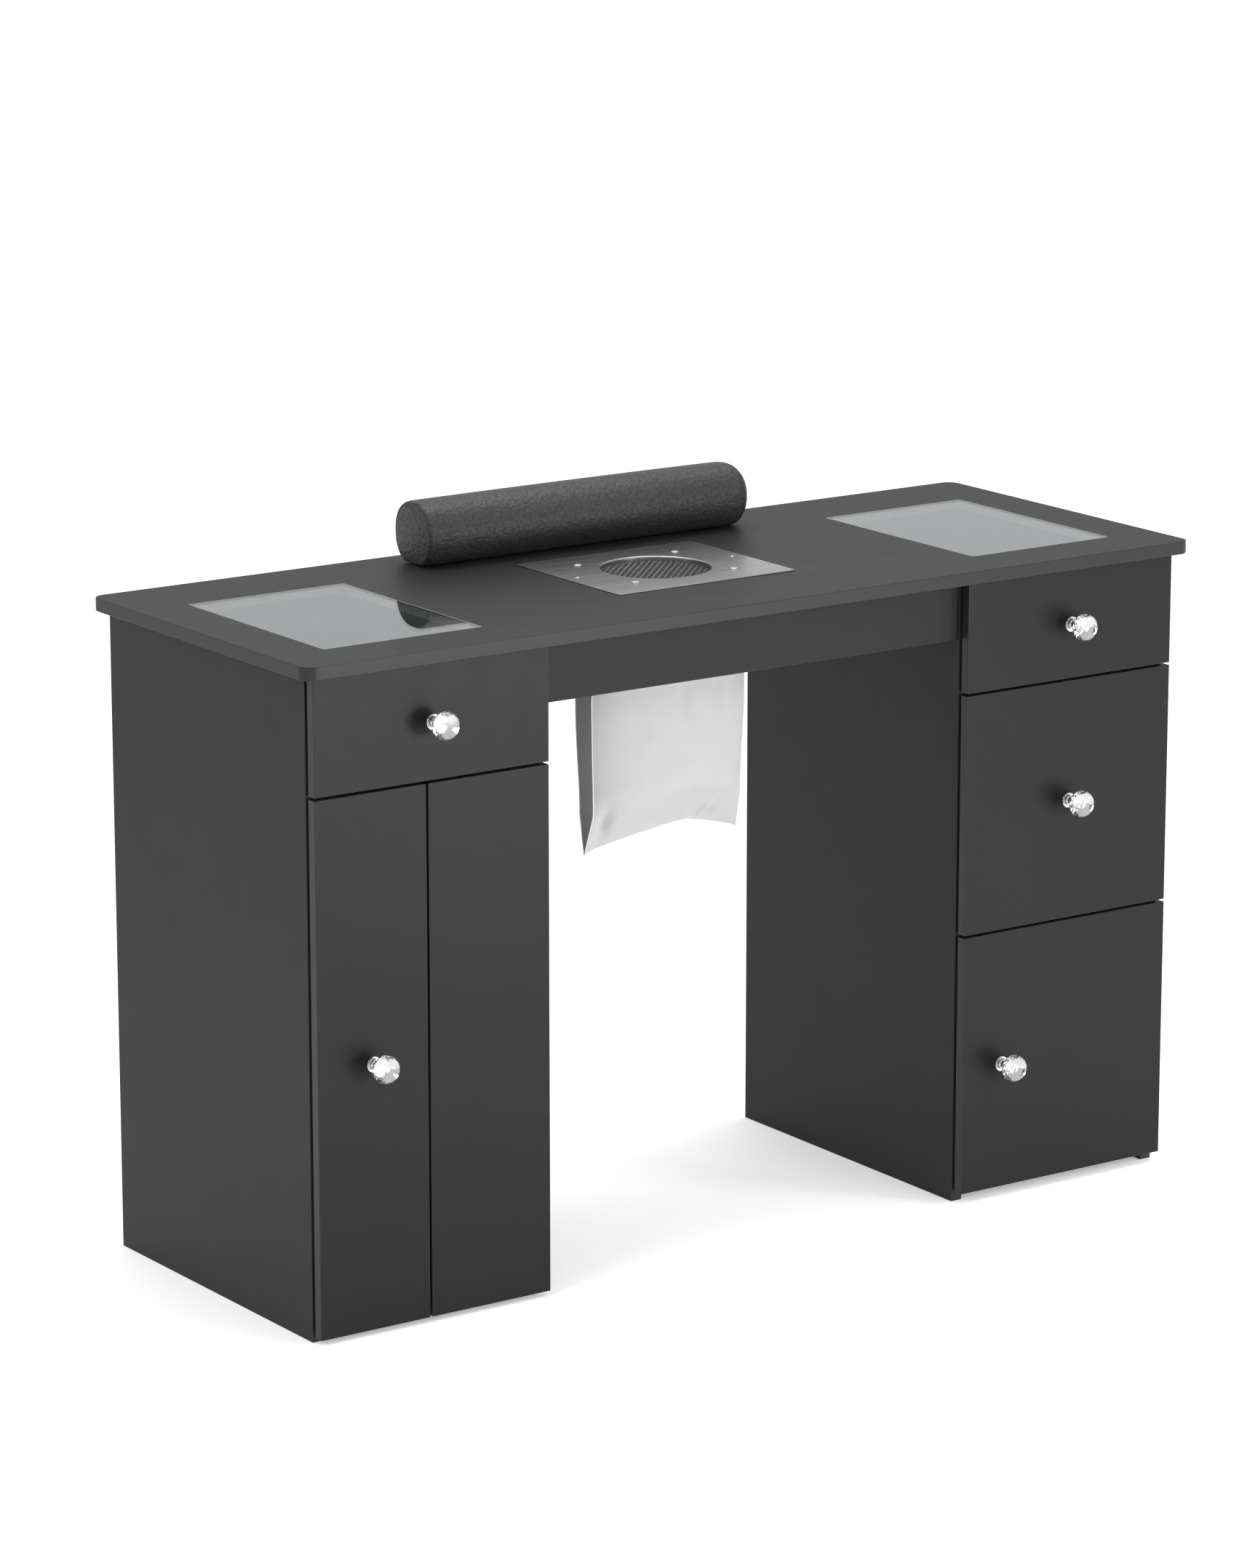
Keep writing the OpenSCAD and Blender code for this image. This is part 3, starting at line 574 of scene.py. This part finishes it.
def make_impeller():
    """Seven swept and twisted blades on a domed hub."""
    low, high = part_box("fan_impeller")
    reach = (high.x - low.x) / 2
    hub, wall, shaft = 25 * MM, 2 * MM, 2 * MM
    root = hub - 0.6 * MM
    blades, radial, chord = 7, 9, 10
    sweep_reach, sweep_power = 0.30, 1.6
    root_tilt, tilt_lost = 44, 18
    root_length, length_gained = 27 * MM, 10 * MM
    camber_rise, edge_half, belly_half = 2.6 * MM, 0.25 * MM, 0.65 * MM
    base = Vector((VENT.x, VENT.y, 0))
    bm = bmesh.new()
    lathe(bm, base, UP, [
        (shaft, high.z - 0.2 * MM), (hub - 7 * MM, high.z), (hub - 2.5 * MM, high.z - 0.5 * MM),
        (root, high.z - 1.8 * MM), (hub, high.z - 4 * MM), (hub, low.z),
        (hub - wall, low.z), (hub - wall, high.z - wall), (shaft, high.z - wall),
        (shaft, high.z - 0.2 * MM),
    ], 64)
    mid = (low.z + high.z) / 2
    for blade in range(blades):
        faces = ([], [])
        for i in range(radial + 1):
            out = i / radial
            radius = root + (reach - root) * out
            sweep = TURN * blade / blades + sweep_reach * out ** sweep_power
            tilt = math.radians(root_tilt - tilt_lost * out)
            length = root_length + length_gained * out
            for surface, sign in zip(faces, (1, -1)):
                row = []
                for k in range(chord + 1):
                    s = k / chord - 0.5
                    camber = camber_rise * (1 - 4 * s * s)
                    thick = sign * (edge_half + belly_half * (1 - (2 * s) ** 4))
                    along = s * length * math.cos(tilt) - (camber + thick) * math.sin(tilt)
                    up = s * length * math.sin(tilt) + (camber + thick) * math.cos(tilt)
                    angle = sweep + along / radius
                    up = min(high.z - mid, max(low.z - mid, up))
                    row.append(bm.verts.new((base.x + radius * math.cos(angle),
                                             base.y + radius * math.sin(angle), mid + up)))
                surface.append(row)
        for surface in faces:
            for first, second in zip(surface, surface[1:]):
                strip(bm, first, second, closed=False)
        over, under = faces
        strip(bm, over[0], under[0], closed=False)
        strip(bm, over[-1], under[-1], closed=False)
        for end in (0, -1):
            strip(bm, [row[end] for row in over], [row[end] for row in under], closed=False)
    settle(finished("impeller", bm, [FAN_PLASTIC], 50), "fan", "fan_plastic", "fan_impeller")


# ---- boards ----

def make_board(name, node, axis, body, slot, faces, holes=()):
    """A board with eased arrises and edge bands, where its CAD node lies."""
    corner, arris, hole_radius = 0.9 * MM, 0.7 * MM, 2.2 * MM
    low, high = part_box(node)
    u, v, w = {"x": (1, 2, 0), "y": (0, 2, 1), "z": (0, 1, 2)}[axis]
    shapes = [(rectangle(low[u], low[v], high[u], high[v], corner, 3),
               eased(low[w], high[w], arris))]
    for hole in holes:
        shapes.append((circle(hole[0], hole[1], hole_radius, 24), [(0, high[w]), (0, low[w])]))
    bm = bmesh.new()
    slab(bm, axis, shapes)
    piece = even_shading(finished(name, bm, [faces, EDGE_BAND, CUT_BOARD]))
    settle(piece, body, slot, node)


CARCASS = {
    "x": ("left_outer_side", "left_inner_side", "right_inner_side", "right_outer_side",
          "left_partition"),
    "y": ("front_rail", "rear_rail", "left_back", "right_back"),
    "z": ("left_bottom", "left_shelf", "right_bottom", "right_shelf", "right_divider"),
}
KNOB_BODIES = {
    "left_drawer": "left_drawer_front", "right_drawer": "right_drawer_front",
    "middle_drawer": "middle_drawer_front", "pullout": "pullout_front", "right_door": "right_door",
}


def make_boards():
    for axis, nodes in CARCASS.items():
        for node in nodes:
            make_board(node + "_board", node, axis, "root", "carcass_laminate", CARCASS_LAMINATE)
    for body, node in KNOB_BODIES.items():
        knob = middle(body + "_knob")
        make_board(body + "_face", node, "y", body, "front_laminate", FRONT_LAMINATE,
                   [(knob.x, knob.z)])
    make_board("left_door_face", "left_door", "y", "left_door", "front_laminate", FRONT_LAMINATE)


# ---- knobs ----

def faceted(bm, base, outward, levels, sides, material=0):
    """A cut stone: rings of corners, each turned half a facet from the one before."""
    turn = outward.to_track_quat("Z", "Y")
    rings = []
    for number, (radius, height) in enumerate(levels):
        shift = 0.5 * (number % 2)
        rings.append([bm.verts.new(base + turn @ Vector((
            radius * math.cos(TURN * (i + shift) / sides),
            radius * math.sin(TURN * (i + shift) / sides), height))) for i in range(sides)])
    for number, (lower, upper) in enumerate(zip(rings, rings[1:])):
        ahead = number % 2
        for i in range(sides):
            j = (i + 1) % sides
            if ahead:
                triples = ((lower[i], lower[j], upper[j]), (lower[i], upper[j], upper[i]))
            else:
                triples = ((lower[i], lower[j], upper[i]), (lower[j], upper[j], upper[i]))
            for triple in triples:
                bm.faces.new(triple).material_index = material
    bm.faces.new(rings[0]).material_index = material
    bm.faces.new(rings[-1]).material_index = material


def make_knob(body):
    """Cut crystal head with a silvered back on a stepped, plated base."""
    outward = Vector((0, -1, 0))
    head_low, head_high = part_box(body + "_knob")
    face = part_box(KNOB_BODIES[body])[0].y
    at = Vector(((head_low.x + head_high.x) / 2, face, (head_low.z + head_high.z) / 2))
    radius = (head_high.x - head_low.x) / 2
    seat, front = face - head_high.y, face - head_low.y
    sides = 16

    # Every profile below is a list of radii and distances out from the front.
    bm = bmesh.new()
    faceted(bm, at, outward, [
        (7.6 * MM, seat + 0.1 * MM), (12.0 * MM, seat + 4.4 * MM), (15.0 * MM, seat + 8.4 * MM),
        (radius, seat + 12.0 * MM), (15.4 * MM, front - 7.4 * MM), (13.4 * MM, front - 4.2 * MM),
        (10.4 * MM, front - 1.6 * MM), (7.0 * MM, front),
    ], sides)
    settle(finished(body + "_crystal", bm, [CRYSTAL], 5), body, "knob_crystal", body + "_knob")

    bm = bmesh.new()
    faceted(bm, at, outward, [
        (6.9 * MM, seat + 0.6 * MM), (11.2 * MM, seat + 4.9 * MM), (14.0 * MM, seat + 8.6 * MM),
        (13.7 * MM, seat + 8.7 * MM), (6.0 * MM, seat + 3.0 * MM),
    ], sides)
    settle(finished(body + "_silvering", bm, [SILVERING], 5), body, "knob_crystal")

    stud_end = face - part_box(body + "_knob_base")[1].y
    stud_head = stud_end + 2.2 * MM
    bm = bmesh.new()
    lathe(bm, at, outward, [
        (0, stud_end), (3.2 * MM, stud_end), (4 * MM, stud_end + 0.8 * MM), (4 * MM, stud_head),
        (2 * MM, stud_head), (2 * MM, 0), (8.7 * MM, 0), (9 * MM, 0.3 * MM), (9 * MM, 1.5 * MM),
        (8.7 * MM, 2.2 * MM), (8.0 * MM, 2.5 * MM), (6.7 * MM, 2.5 * MM), (6.5 * MM, 2.8 * MM),
        (6.5 * MM, 4.2 * MM), (6.2 * MM, 4.8 * MM), (5.5 * MM, 5.0 * MM), (4.4 * MM, 5.4 * MM),
        (3.9 * MM, 7.0 * MM), (3.9 * MM, 9.0 * MM), (4.6 * MM, 11.0 * MM), (6.6 * MM, seat - 0.6 * MM),
        (7.2 * MM, seat - 0.1 * MM), (7.0 * MM, seat + 0.3 * MM), (0, seat + 0.3 * MM),
    ], 64)
    settle(finished(body + "_rosette", bm, [CHROME], 40), body, "knob_metal", body + "_knob_base")


# ---- wrist cushion ----

def signed_power(value, power):
    return math.copysign(abs(value) ** power, value)


CUSHION_LOW, CUSHION_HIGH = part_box("wrist_cushion")
CUSHION_R = (CUSHION_HIGH.y - CUSHION_LOW.y) / 2
CUSHION_AXIS = Vector((0, middle("wrist_cushion").y, CUSHION_HIGH.z - CUSHION_R))
SECTION_POWER = 0.88        # a section of power 1 would be round; this one is a little squarer
FLAT_RISE = 0.35            # how fast the flat underside rises where the section gets smaller
LEFT_END = (3 * MM, 2 * MM)         # radius of the end's rim, and how far its middle bulges
RIGHT_END = (26 * MM, 2 * MM)


def cushion_section(inset, x, count=96):
    """Points of the bolster's section: nearly round, flat where it lies on the table."""
    points = []
    for i in range(count):
        angle = TURN * i / count
        y = (CUSHION_R - inset) * signed_power(math.cos(angle), SECTION_POWER)
        z = (CUSHION_R - inset) * signed_power(math.sin(angle), SECTION_POWER)
        floor = CUSHION_LOW.z - CUSHION_AXIS.z + FLAT_RISE * inset
        points.append(Vector((x, CUSHION_AXIS.y + y, CUSHION_AXIS.z + max(z, floor))))
    return points


def end_profile(radius, bulge, steps=12):
    """(depth, inset) pairs from the middle of an end, over its rounded rim, to the full section."""
    flat = CUSHION_R - radius
    cap = [(bulge * (step / steps) ** 2, CUSHION_R - flat * step / steps) for step in range(1, steps)]
    rim = []
    for step in range(steps + 1):
        angle = QUARTER_TURN * step / steps
        rim.append((bulge + radius * (1 - math.cos(angle)), radius * (1 - math.sin(angle))))
    return cap + rim


def cushion_shell(shrink):
    """The bolster before it is filled: a long roll with a firm left end and a softer right one."""
    left, right = CUSHION_LOW.x + shrink, CUSHION_HIGH.x - shrink
    smallest = 1 * MM
    stations = [(left + depth, inset) for depth, inset in end_profile(*LEFT_END)]
    far_end = [(right - depth, inset) for depth, inset in reversed(end_profile(*RIGHT_END))]
    start, end, lengths = stations[-1][0], far_end[0][0], 60
    stations += [(start + (end - start) * step / lengths, 0) for step in range(1, lengths)]
    stations += far_end
    bm = bmesh.new()
    rings = []
    for x, inset in stations:
        inset = min(inset + shrink, CUSHION_R - smallest)
        rings.append([bm.verts.new(point) for point in cushion_section(inset, x)])
    for first, second in zip(rings, rings[1:]):
        strip(bm, first, second)
    bm.faces.new(rings[0])
    bm.faces.new(rings[-1])
    return bm


def inflate(piece, voxel, pressure, limit, held):
    """Fills a cover by cloth simulation. Points that held() picks stay, as sewn seams do."""
    stretching, bending, frames = 25, 2, 20
    remesh = piece.modifiers.new("remesh", "REMESH")
    remesh.mode = "VOXEL"
    remesh.voxel_size = voxel
    bpy.context.view_layer.objects.active = piece
    bpy.ops.object.modifier_apply(modifier="remesh")
    start = [vert.co.copy() for vert in piece.data.vertices]
    seam = piece.vertex_groups.new(name="seam")
    seam.add([i for i, point in enumerate(start) if held(point)], 1.0, "REPLACE")
    cloth = piece.modifiers.new("filling", "CLOTH")
    cloth.settings.quality = 6
    cloth.settings.mass = 0.3
    cloth.settings.tension_stiffness = stretching
    cloth.settings.compression_stiffness = stretching
    cloth.settings.bending_stiffness = bending
    cloth.settings.use_pressure = True
    cloth.settings.uniform_pressure_force = pressure
    cloth.settings.effector_weights.gravity = 0
    cloth.settings.vertex_group_mass = "seam"
    cloth.point_cache.frame_start = 1
    cloth.point_cache.frame_end = frames
    for number in range(1, frames + 1):
        bpy.context.scene.frame_set(number)
    bpy.ops.object.modifier_apply(modifier="filling")
    for vert, point in zip(piece.data.vertices, start):
        move = vert.co - point
        if move.length > limit:
            vert.co = point + move * (limit / move.length)
    bpy.context.scene.frame_set(1)


def within_cushion(point):
    """Keeps the filled cover in its own room: on the table and inside its length and height."""
    spare = 1 * MM
    point.z = min(CUSHION_HIGH.z, max(CUSHION_LOW.z, point.z))
    point.y = min(CUSHION_HIGH.y + spare, max(CUSHION_LOW.y - spare, point.y))
    point.x = min(CUSHION_HIGH.x, max(CUSHION_LOW.x, point.x))
    return point


def make_cushion():
    """Leather bolster, filled, with a welted seam of two rows round each end."""
    seam_inset, seam_half, seam_reach = 4 * MM, 2.5 * MM, 5 * MM
    row_gap, welt_radius, welt_sink, before_end = 1.6 * MM, 0.7 * MM, 0.35 * MM, 50 * MM
    piece = finished("wrist_bolster", cushion_shell(shrink=2 * MM), [LEATHER], 60)
    def held(point):
        out = math.hypot(point.y - CUSHION_AXIS.y, point.z - CUSHION_AXIS.z)
        ring = abs(out - (CUSHION_R - seam_inset)) < seam_half
        near_left = point.x < CUSHION_LOW.x + seam_reach
        near_right = point.x > CUSHION_HIGH.x - seam_reach
        return ring and (near_left or near_right)
    inflate(piece, voxel=3 * MM, pressure=4.0, limit=5 * MM, held=held)
    bm = bmesh.new()
    bm.from_mesh(piece.data)
    for vert in bm.verts:
        vert.co = within_cushion(vert.co)
    bmesh.ops.smooth_vert(bm, verts=bm.verts, factor=0.25, use_axis_x=True, use_axis_y=True,
                          use_axis_z=True)
    bm.to_mesh(piece.data)
    surface = BVHTree.FromBMesh(bm)
    bm.free()
    piece.data.shade_smooth()
    smooth = piece.modifiers.new("smooth", "SUBSURF")
    smooth.levels = smooth.render_levels = 1
    settle(piece, "cushion", "cushion_leather", "wrist_cushion")

    welts = bmesh.new()
    for end, inward in ((CUSHION_LOW.x, 1), (CUSHION_HIGH.x, -1)):
        for inset in (seam_inset, seam_inset + row_gap):
            line = []
            for point in cushion_section(inset, 0, 120):
                start = Vector((end - inward * before_end, point.y, point.z))
                hit = surface.ray_cast(start, Vector((inward, 0, 0)))[0]
                if hit is not None:
                    line.append(hit + Vector((inward * welt_sink, 0, 0)))
            tube(welts, line, welt_radius, 8, closed=True)
    settle(finished("bolster_welts", welts, [LEATHER], 60), "cushion", "cushion_leather")


# ---- dust bag ----

BAG_LOW, BAG_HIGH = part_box("dust_bag")
BAG_Y = VENT.y - 10 * MM            # the bag hangs a little towards the drawer side
BAG_HALF_W = 101.5 * MM
BAG_HALF_D = 13 * MM                # half the depth of its side gussets
BAG_TIP = 104.5 * MM                # from its middle to either end of the hem
BAG_CUSP = 31 * MM                  # from its middle to where the hem is highest
HEM_LEFT = BAG_LOW.z + 3 * MM
HEM_RIGHT = BAG_LOW.z + 7 * MM
HEM_CUSP = BAG_LOW.z + 26 * MM
COLLAR_GRIP = 68.2 * MM             # radius of the gathered neck
BAG_PLEATS = 34


def bell(distance, width):
    """1 at no distance, and almost nothing two widths away."""
    return math.exp(-(distance / width) ** 2)


def bag_hem(x):
    """Height of the bag's sewn lower edge, which rises to a point right of the middle."""
    left_curve, right_curve = 0.7, 0.75
    if x < BAG_CUSP:
        share = max(0.0, (x + BAG_TIP) / (BAG_TIP + BAG_CUSP))
        return HEM_LEFT + (HEM_CUSP - HEM_LEFT) * share ** left_curve
    share = min(1.0, (x - BAG_CUSP) / (BAG_TIP - BAG_CUSP))
    return HEM_RIGHT + (HEM_CUSP - HEM_RIGHT) * (1 - share) ** right_curve


def bag_outline(front, side):
    """Points (u, v) round a unit square from its front left corner, with more near each corner."""
    def along(i, count):
        return -math.cos(math.pi * i / count)
    points = [(along(i, front), -1.0) for i in range(front)]
    points += [(1.0, along(i, side)) for i in range(side)]
    points += [(-along(i, front), 1.0) for i in range(front)]
    points += [(-1.0, -along(i, side)) for i in range(side)]
    return points


def bag_folds(x, z, sy):
    """How far the fabric of the front or back stands in or out, for its folds and sag."""
    rise = z - bag_hem(x)
    below_neck = smoothstep((z - 565 * MM) / (50 * MM))
    out = -2.6 * MM * below_neck * bell(x - 12 * MM, 9 * MM)
    out -= 2.2 * MM * below_neck * bell(x - 57 * MM, 9 * MM)
    if sy < 0:
        # A slanting crease right of the cusp: a sharp ridge with a hollow beside it.
        across, up = x - 52 * MM, rise - 12 * MM
        along = across * 0.65 + up * 0.75
        beside = across * 0.75 - up * 0.65
        crease = bell(along - 6 * MM, 13 * MM)
        out += 4.5 * MM * crease * bell(beside, 3.5 * MM)
        out -= 3.5 * MM * crease * bell(beside - 7 * MM, 5 * MM)
        # The dent above the left corner, and the swelling at the cusp.
        out -= 8.0 * MM * bell(x + 85 * MM, 9 * MM) * bell(rise - 28 * MM, 17 * MM)
        out += 2.0 * MM * bell(x - BAG_CUSP, 8 * MM) * bell(rise, 14 * MM)
    broad = noise.noise(Vector((x * 16, sy * 3, z * 10)))
    fine = noise.noise(Vector((x * 90, sy * 3 + 7, z * 60)))
    return out + 0.7 * MM * broad + 0.12 * MM * fine


def bag_point(u, v, down):
    """A point of the bag: (u, v) on the unit square, and down from 0 at the neck to 1 at the hem."""
    front_fullness, back_fullness, pillow_slope = 15 * MM, 5 * MM, 28 * MM
    fabric_half, gusset_sag = 0.4 * MM, 2 * MM
    hem = bag_hem(u * BAG_TIP)
    z = BAG_HIGH.z + (hem - BAG_HIGH.z) * down
    rise = z - hem

    # The sack: wider and deeper towards its shoulders, and flat where it is sewn shut.
    flare = smoothstep((z - 470 * MM) / (140 * MM))
    spread = 1 - smoothstep(rise / (60 * MM))
    closing = min(1.0, rise / (46 * MM))
    half_d = (BAG_HALF_D + 2.5 * MM * flare) * closing + fabric_half
    half_w = BAG_HALF_W + 4 * MM * flare + 3 * MM * spread
    x, y = u * half_w, v * half_d
    if abs(v) > 0.999:
        fullness = front_fullness if v < 0 else back_fullness
        pillow = fullness * (1 - math.exp(-(1 - abs(u)) * half_w / pillow_slope))
        full = 0.12 + 0.88 * smoothstep(rise / (75 * MM))
        y += v * (pillow * full * min(1.0, rise / (20 * MM)) + bag_folds(x, z, v))
    else:
        x -= math.copysign(1, u) * gusset_sag * (1 - v * v) * closing

    # The neck: a ring of pleats that the sack is gathered into.
    angle = math.atan2(v * 0.9, u)
    gather = smoothstep((z - 618 * MM) / (44 * MM))
    below_rim = smoothstep((678 * MM - z) / (20 * MM))
    pleat = 0.2 * MM * below_rim + 6.4 * MM * gather * (1 - gather)
    ring = COLLAR_GRIP + pleat * math.sin(BAG_PLEATS * angle)
    neck = Vector((VENT.x + ring * math.cos(angle), VENT.y + ring * math.sin(angle), z))
    sack = Vector((VENT.x + x, BAG_Y + y, z))
    return sack * (1 - gather) + neck * gather


def make_bag():
    """Box-sided bag of white fabric, gathered on the fan's collar and sewn flat at its lower edge."""
    front, side, rows = 96, 26, 110
    first_seam_row = 12
    seam_radius, hem_radius, hem_rise = 0.6 * MM, 0.8 * MM, 0.3 * MM
    elastic_radius, elastic_levels = 68.6 * MM, (BAG_HIGH.z - 4 * MM, BAG_HIGH.z - 15 * MM)
    outline = bag_outline(front, side)
    bm = bmesh.new()
    rings = []
    for row in range(rows + 1):
        down = row / rows
        rings.append([bm.verts.new(bag_point(u, v, down)) for u, v in outline])
    for first, second in zip(rings, rings[1:]):
        strip(bm, first, second)
    corners = [0, front, front + side, 2 * front + side]
    seams = [[rings[row][corner].co.copy() for row in range(first_seam_row, rows + 1)]
             for corner in corners]
    hem = [rings[-1][i].co.copy() for i in range(front + 1)]
    last = rings[-1]
    total = len(outline)
    for i in range(front):
        over = (2 * front + side - i) % total
        under = (2 * front + side - i - 1) % total
        bm.faces.new([last[i], last[i + 1], last[under], last[over]])
    bm.faces.new([last[(2 * front + side + k) % total] for k in range(side + 1)])
    bm.faces.new([last[front + k] for k in range(side + 1)])
    piece = finished("fabric_bag", bm, [BAG_FABRIC], 70)
    settle(piece, "bag", "bag_fabric", "dust_bag")

    trim = bmesh.new()
    for line in seams:
        tube(trim, line, seam_radius, 8)
    tube(trim, [point + hem_rise * UP for point in hem], hem_radius, 8)
    for level in elastic_levels:
        ring = [Vector((x, y, level)) for x, y in circle(VENT.x, VENT.y, elastic_radius)(0)]
        tube(trim, ring, seam_radius, 6, closed=True)
    settle(finished("bag_seams", trim, [BAG_THREAD], 60), "bag", "bag_fabric")


# ---- CAD nodes that keep their shape ----

KEPT = {
    "fan_housing": FAN_PLASTIC, "fan_motor": FAN_PLASTIC, "fan_shaft": SHAFT_STEEL,
    "bag_collar": COLLAR_PLASTIC, "power_inlet": INLET_PLASTIC, "power_rocker": ROCKER_PLASTIC,
    "top_brackets": RUNNER_STEEL, "runner_rails": RUNNER_STEEL, "hinge_leaves": HINGE_STEEL,
    "left_door_leaves": HINGE_STEEL, "right_door_leaves": HINGE_STEEL,
    "latch_body": LATCH_PLASTIC, "latch_plunger": LATCH_PLASTIC, "pullout_rack": DRAWER_BOARD,
    "left_drawer_box": DRAWER_BOARD, "right_drawer_box": DRAWER_BOARD,
    "middle_drawer_box": DRAWER_BOARD, "left_drawer_runners": RUNNER_STEEL,
    "right_drawer_runners": RUNNER_STEEL, "middle_drawer_runners": RUNNER_STEEL,
    "pullout_runners": RUNNER_STEEL,
}


def dress_kept_nodes():
    """Materials for the nodes that show as they are, with their arrises eased."""
    welded_within, board_arris, other_arris = 0.002 * MM, 0.5 * MM, 0.2 * MM
    for node, material in KEPT.items():
        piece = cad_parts[node]
        for slot in piece.material_slots:
            slot.material = material
        weld = piece.modifiers.new("weld", "WELD")
        weld.merge_threshold = welded_within
        ease = piece.modifiers.new("ease", "BEVEL")
        ease.width = board_arris if material is DRAWER_BOARD else other_arris
        ease.segments = 2
        ease.limit_method = "ANGLE"
        ease.angle_limit = math.radians(50)


# ---- studio ----

def add_light(name, location, aim, size, power, mirrored=True):
    """An area light. One that isn't mirrored leaves no bright patch in steel or laminate.

    A glass pane can still show it from the far side, because the pane's underside mirrors it.
    """
    lamp = bpy.data.lights.new(name, "AREA")
    lamp.shape = "RECTANGLE"
    lamp.size, lamp.size_y = size
    lamp.energy = power
    light = bpy.data.objects.new(name, lamp)
    light.location = location
    light.rotation_euler = (Vector(aim) - Vector(location)).to_track_quat("-Z", "Y").to_euler()
    light.visible_glossy = mirrored
    bpy.context.scene.collection.objects.link(light)


def make_floor():
    """A wide, plain, almost white floor."""
    below_feet, radii, sides = 0.2 * MM, (2, 8, 40), 64
    shader = Shader("studio_floor", IOR=1.3, Emission_Color=(1, 1, 1, 1), Emission_Strength=0.30)
    clouds = shader.noise(0.6, 3)
    shader.feed("Base Color", shader.shades(clouds, grey(0.93), grey(0.95)))
    shader.feed("Roughness", shader.span(clouds, 0.85, 0.9))
    bm = bmesh.new()
    rings = [[bm.verts.new((x, y, cad_low.z - below_feet))
              for x, y in circle(0, 0, radius, sides)(0)] for radius in radii]
    bm.faces.new(rings[0])
    for inner, outer in zip(rings, rings[1:]):
        strip(bm, inner, outer)
    finished("studio_floor", bm, [shader.material])


def make_studio():
    """An even white surround, the floor, and soft lights from the front, both sides and above."""
    scene = bpy.context.scene
    scene.view_settings.view_transform = "Standard"
    world = bpy.data.worlds.new("studio")
    world.use_nodes = True
    surround = world.node_tree.nodes["Background"]
    surround.inputs["Color"].default_value = (1, 1, 1, 1)
    surround.inputs["Strength"].default_value = 0.8
    scene.world = world
    make_floor()
    add_light("front", location=(0.85, -2.65, 0.6), aim=(-0.4, 0, 0.6), size=(0.9, 0.7), power=25)
    add_light("right", location=(2.25, -2.7, 1.5), aim=(0, 0, 0.5), size=(0.9, 0.9), power=44,
              mirrored=False)
    add_light("left", location=(-2.8, -1.0, 2.0), aim=(0, 0.1, 0.7), size=(1.0, 1.0), power=22,
              mirrored=False)
    add_light("top", location=(0.2, 0.5, 3.2), aim=(0, 0.1, 0.7), size=(2.4, 1.6), power=45)


def make_camera():
    """A long lens to the left of the table's front, looking slightly down at it."""
    off_centre = Vector((-44 * MM, 0, 94.4 * MM))
    aim = (cad_low + cad_high) / 2 + off_centre
    azimuth, elevation, distance = math.radians(-34.81), math.radians(13.66), 6.50
    back = Vector((math.sin(azimuth) * math.cos(elevation),
                   -math.cos(azimuth) * math.cos(elevation), math.sin(elevation)))
    camera = bpy.data.objects.new("camera", bpy.data.cameras.new("camera"))
    camera.data.lens = 131.8
    camera.data.sensor_width = 36
    camera.data.clip_end = 200
    camera.location = aim + distance * back
    camera.rotation_euler = (-back).to_track_quat("-Z", "Y").to_euler()
    bpy.context.scene.collection.objects.link(camera)
    bpy.context.scene.camera = camera


# ---- the table ----

make_camera()
make_studio()
make_tabletop()
for pane in ("left", "right"):
    make_glass(pane)
make_vent_plate()
make_vent_mesh()
make_plate_screws()
make_impeller()
make_boards()
for knob_body in KNOB_BODIES:
    make_knob(knob_body)
make_cushion()
make_bag()
dress_kept_nodes()
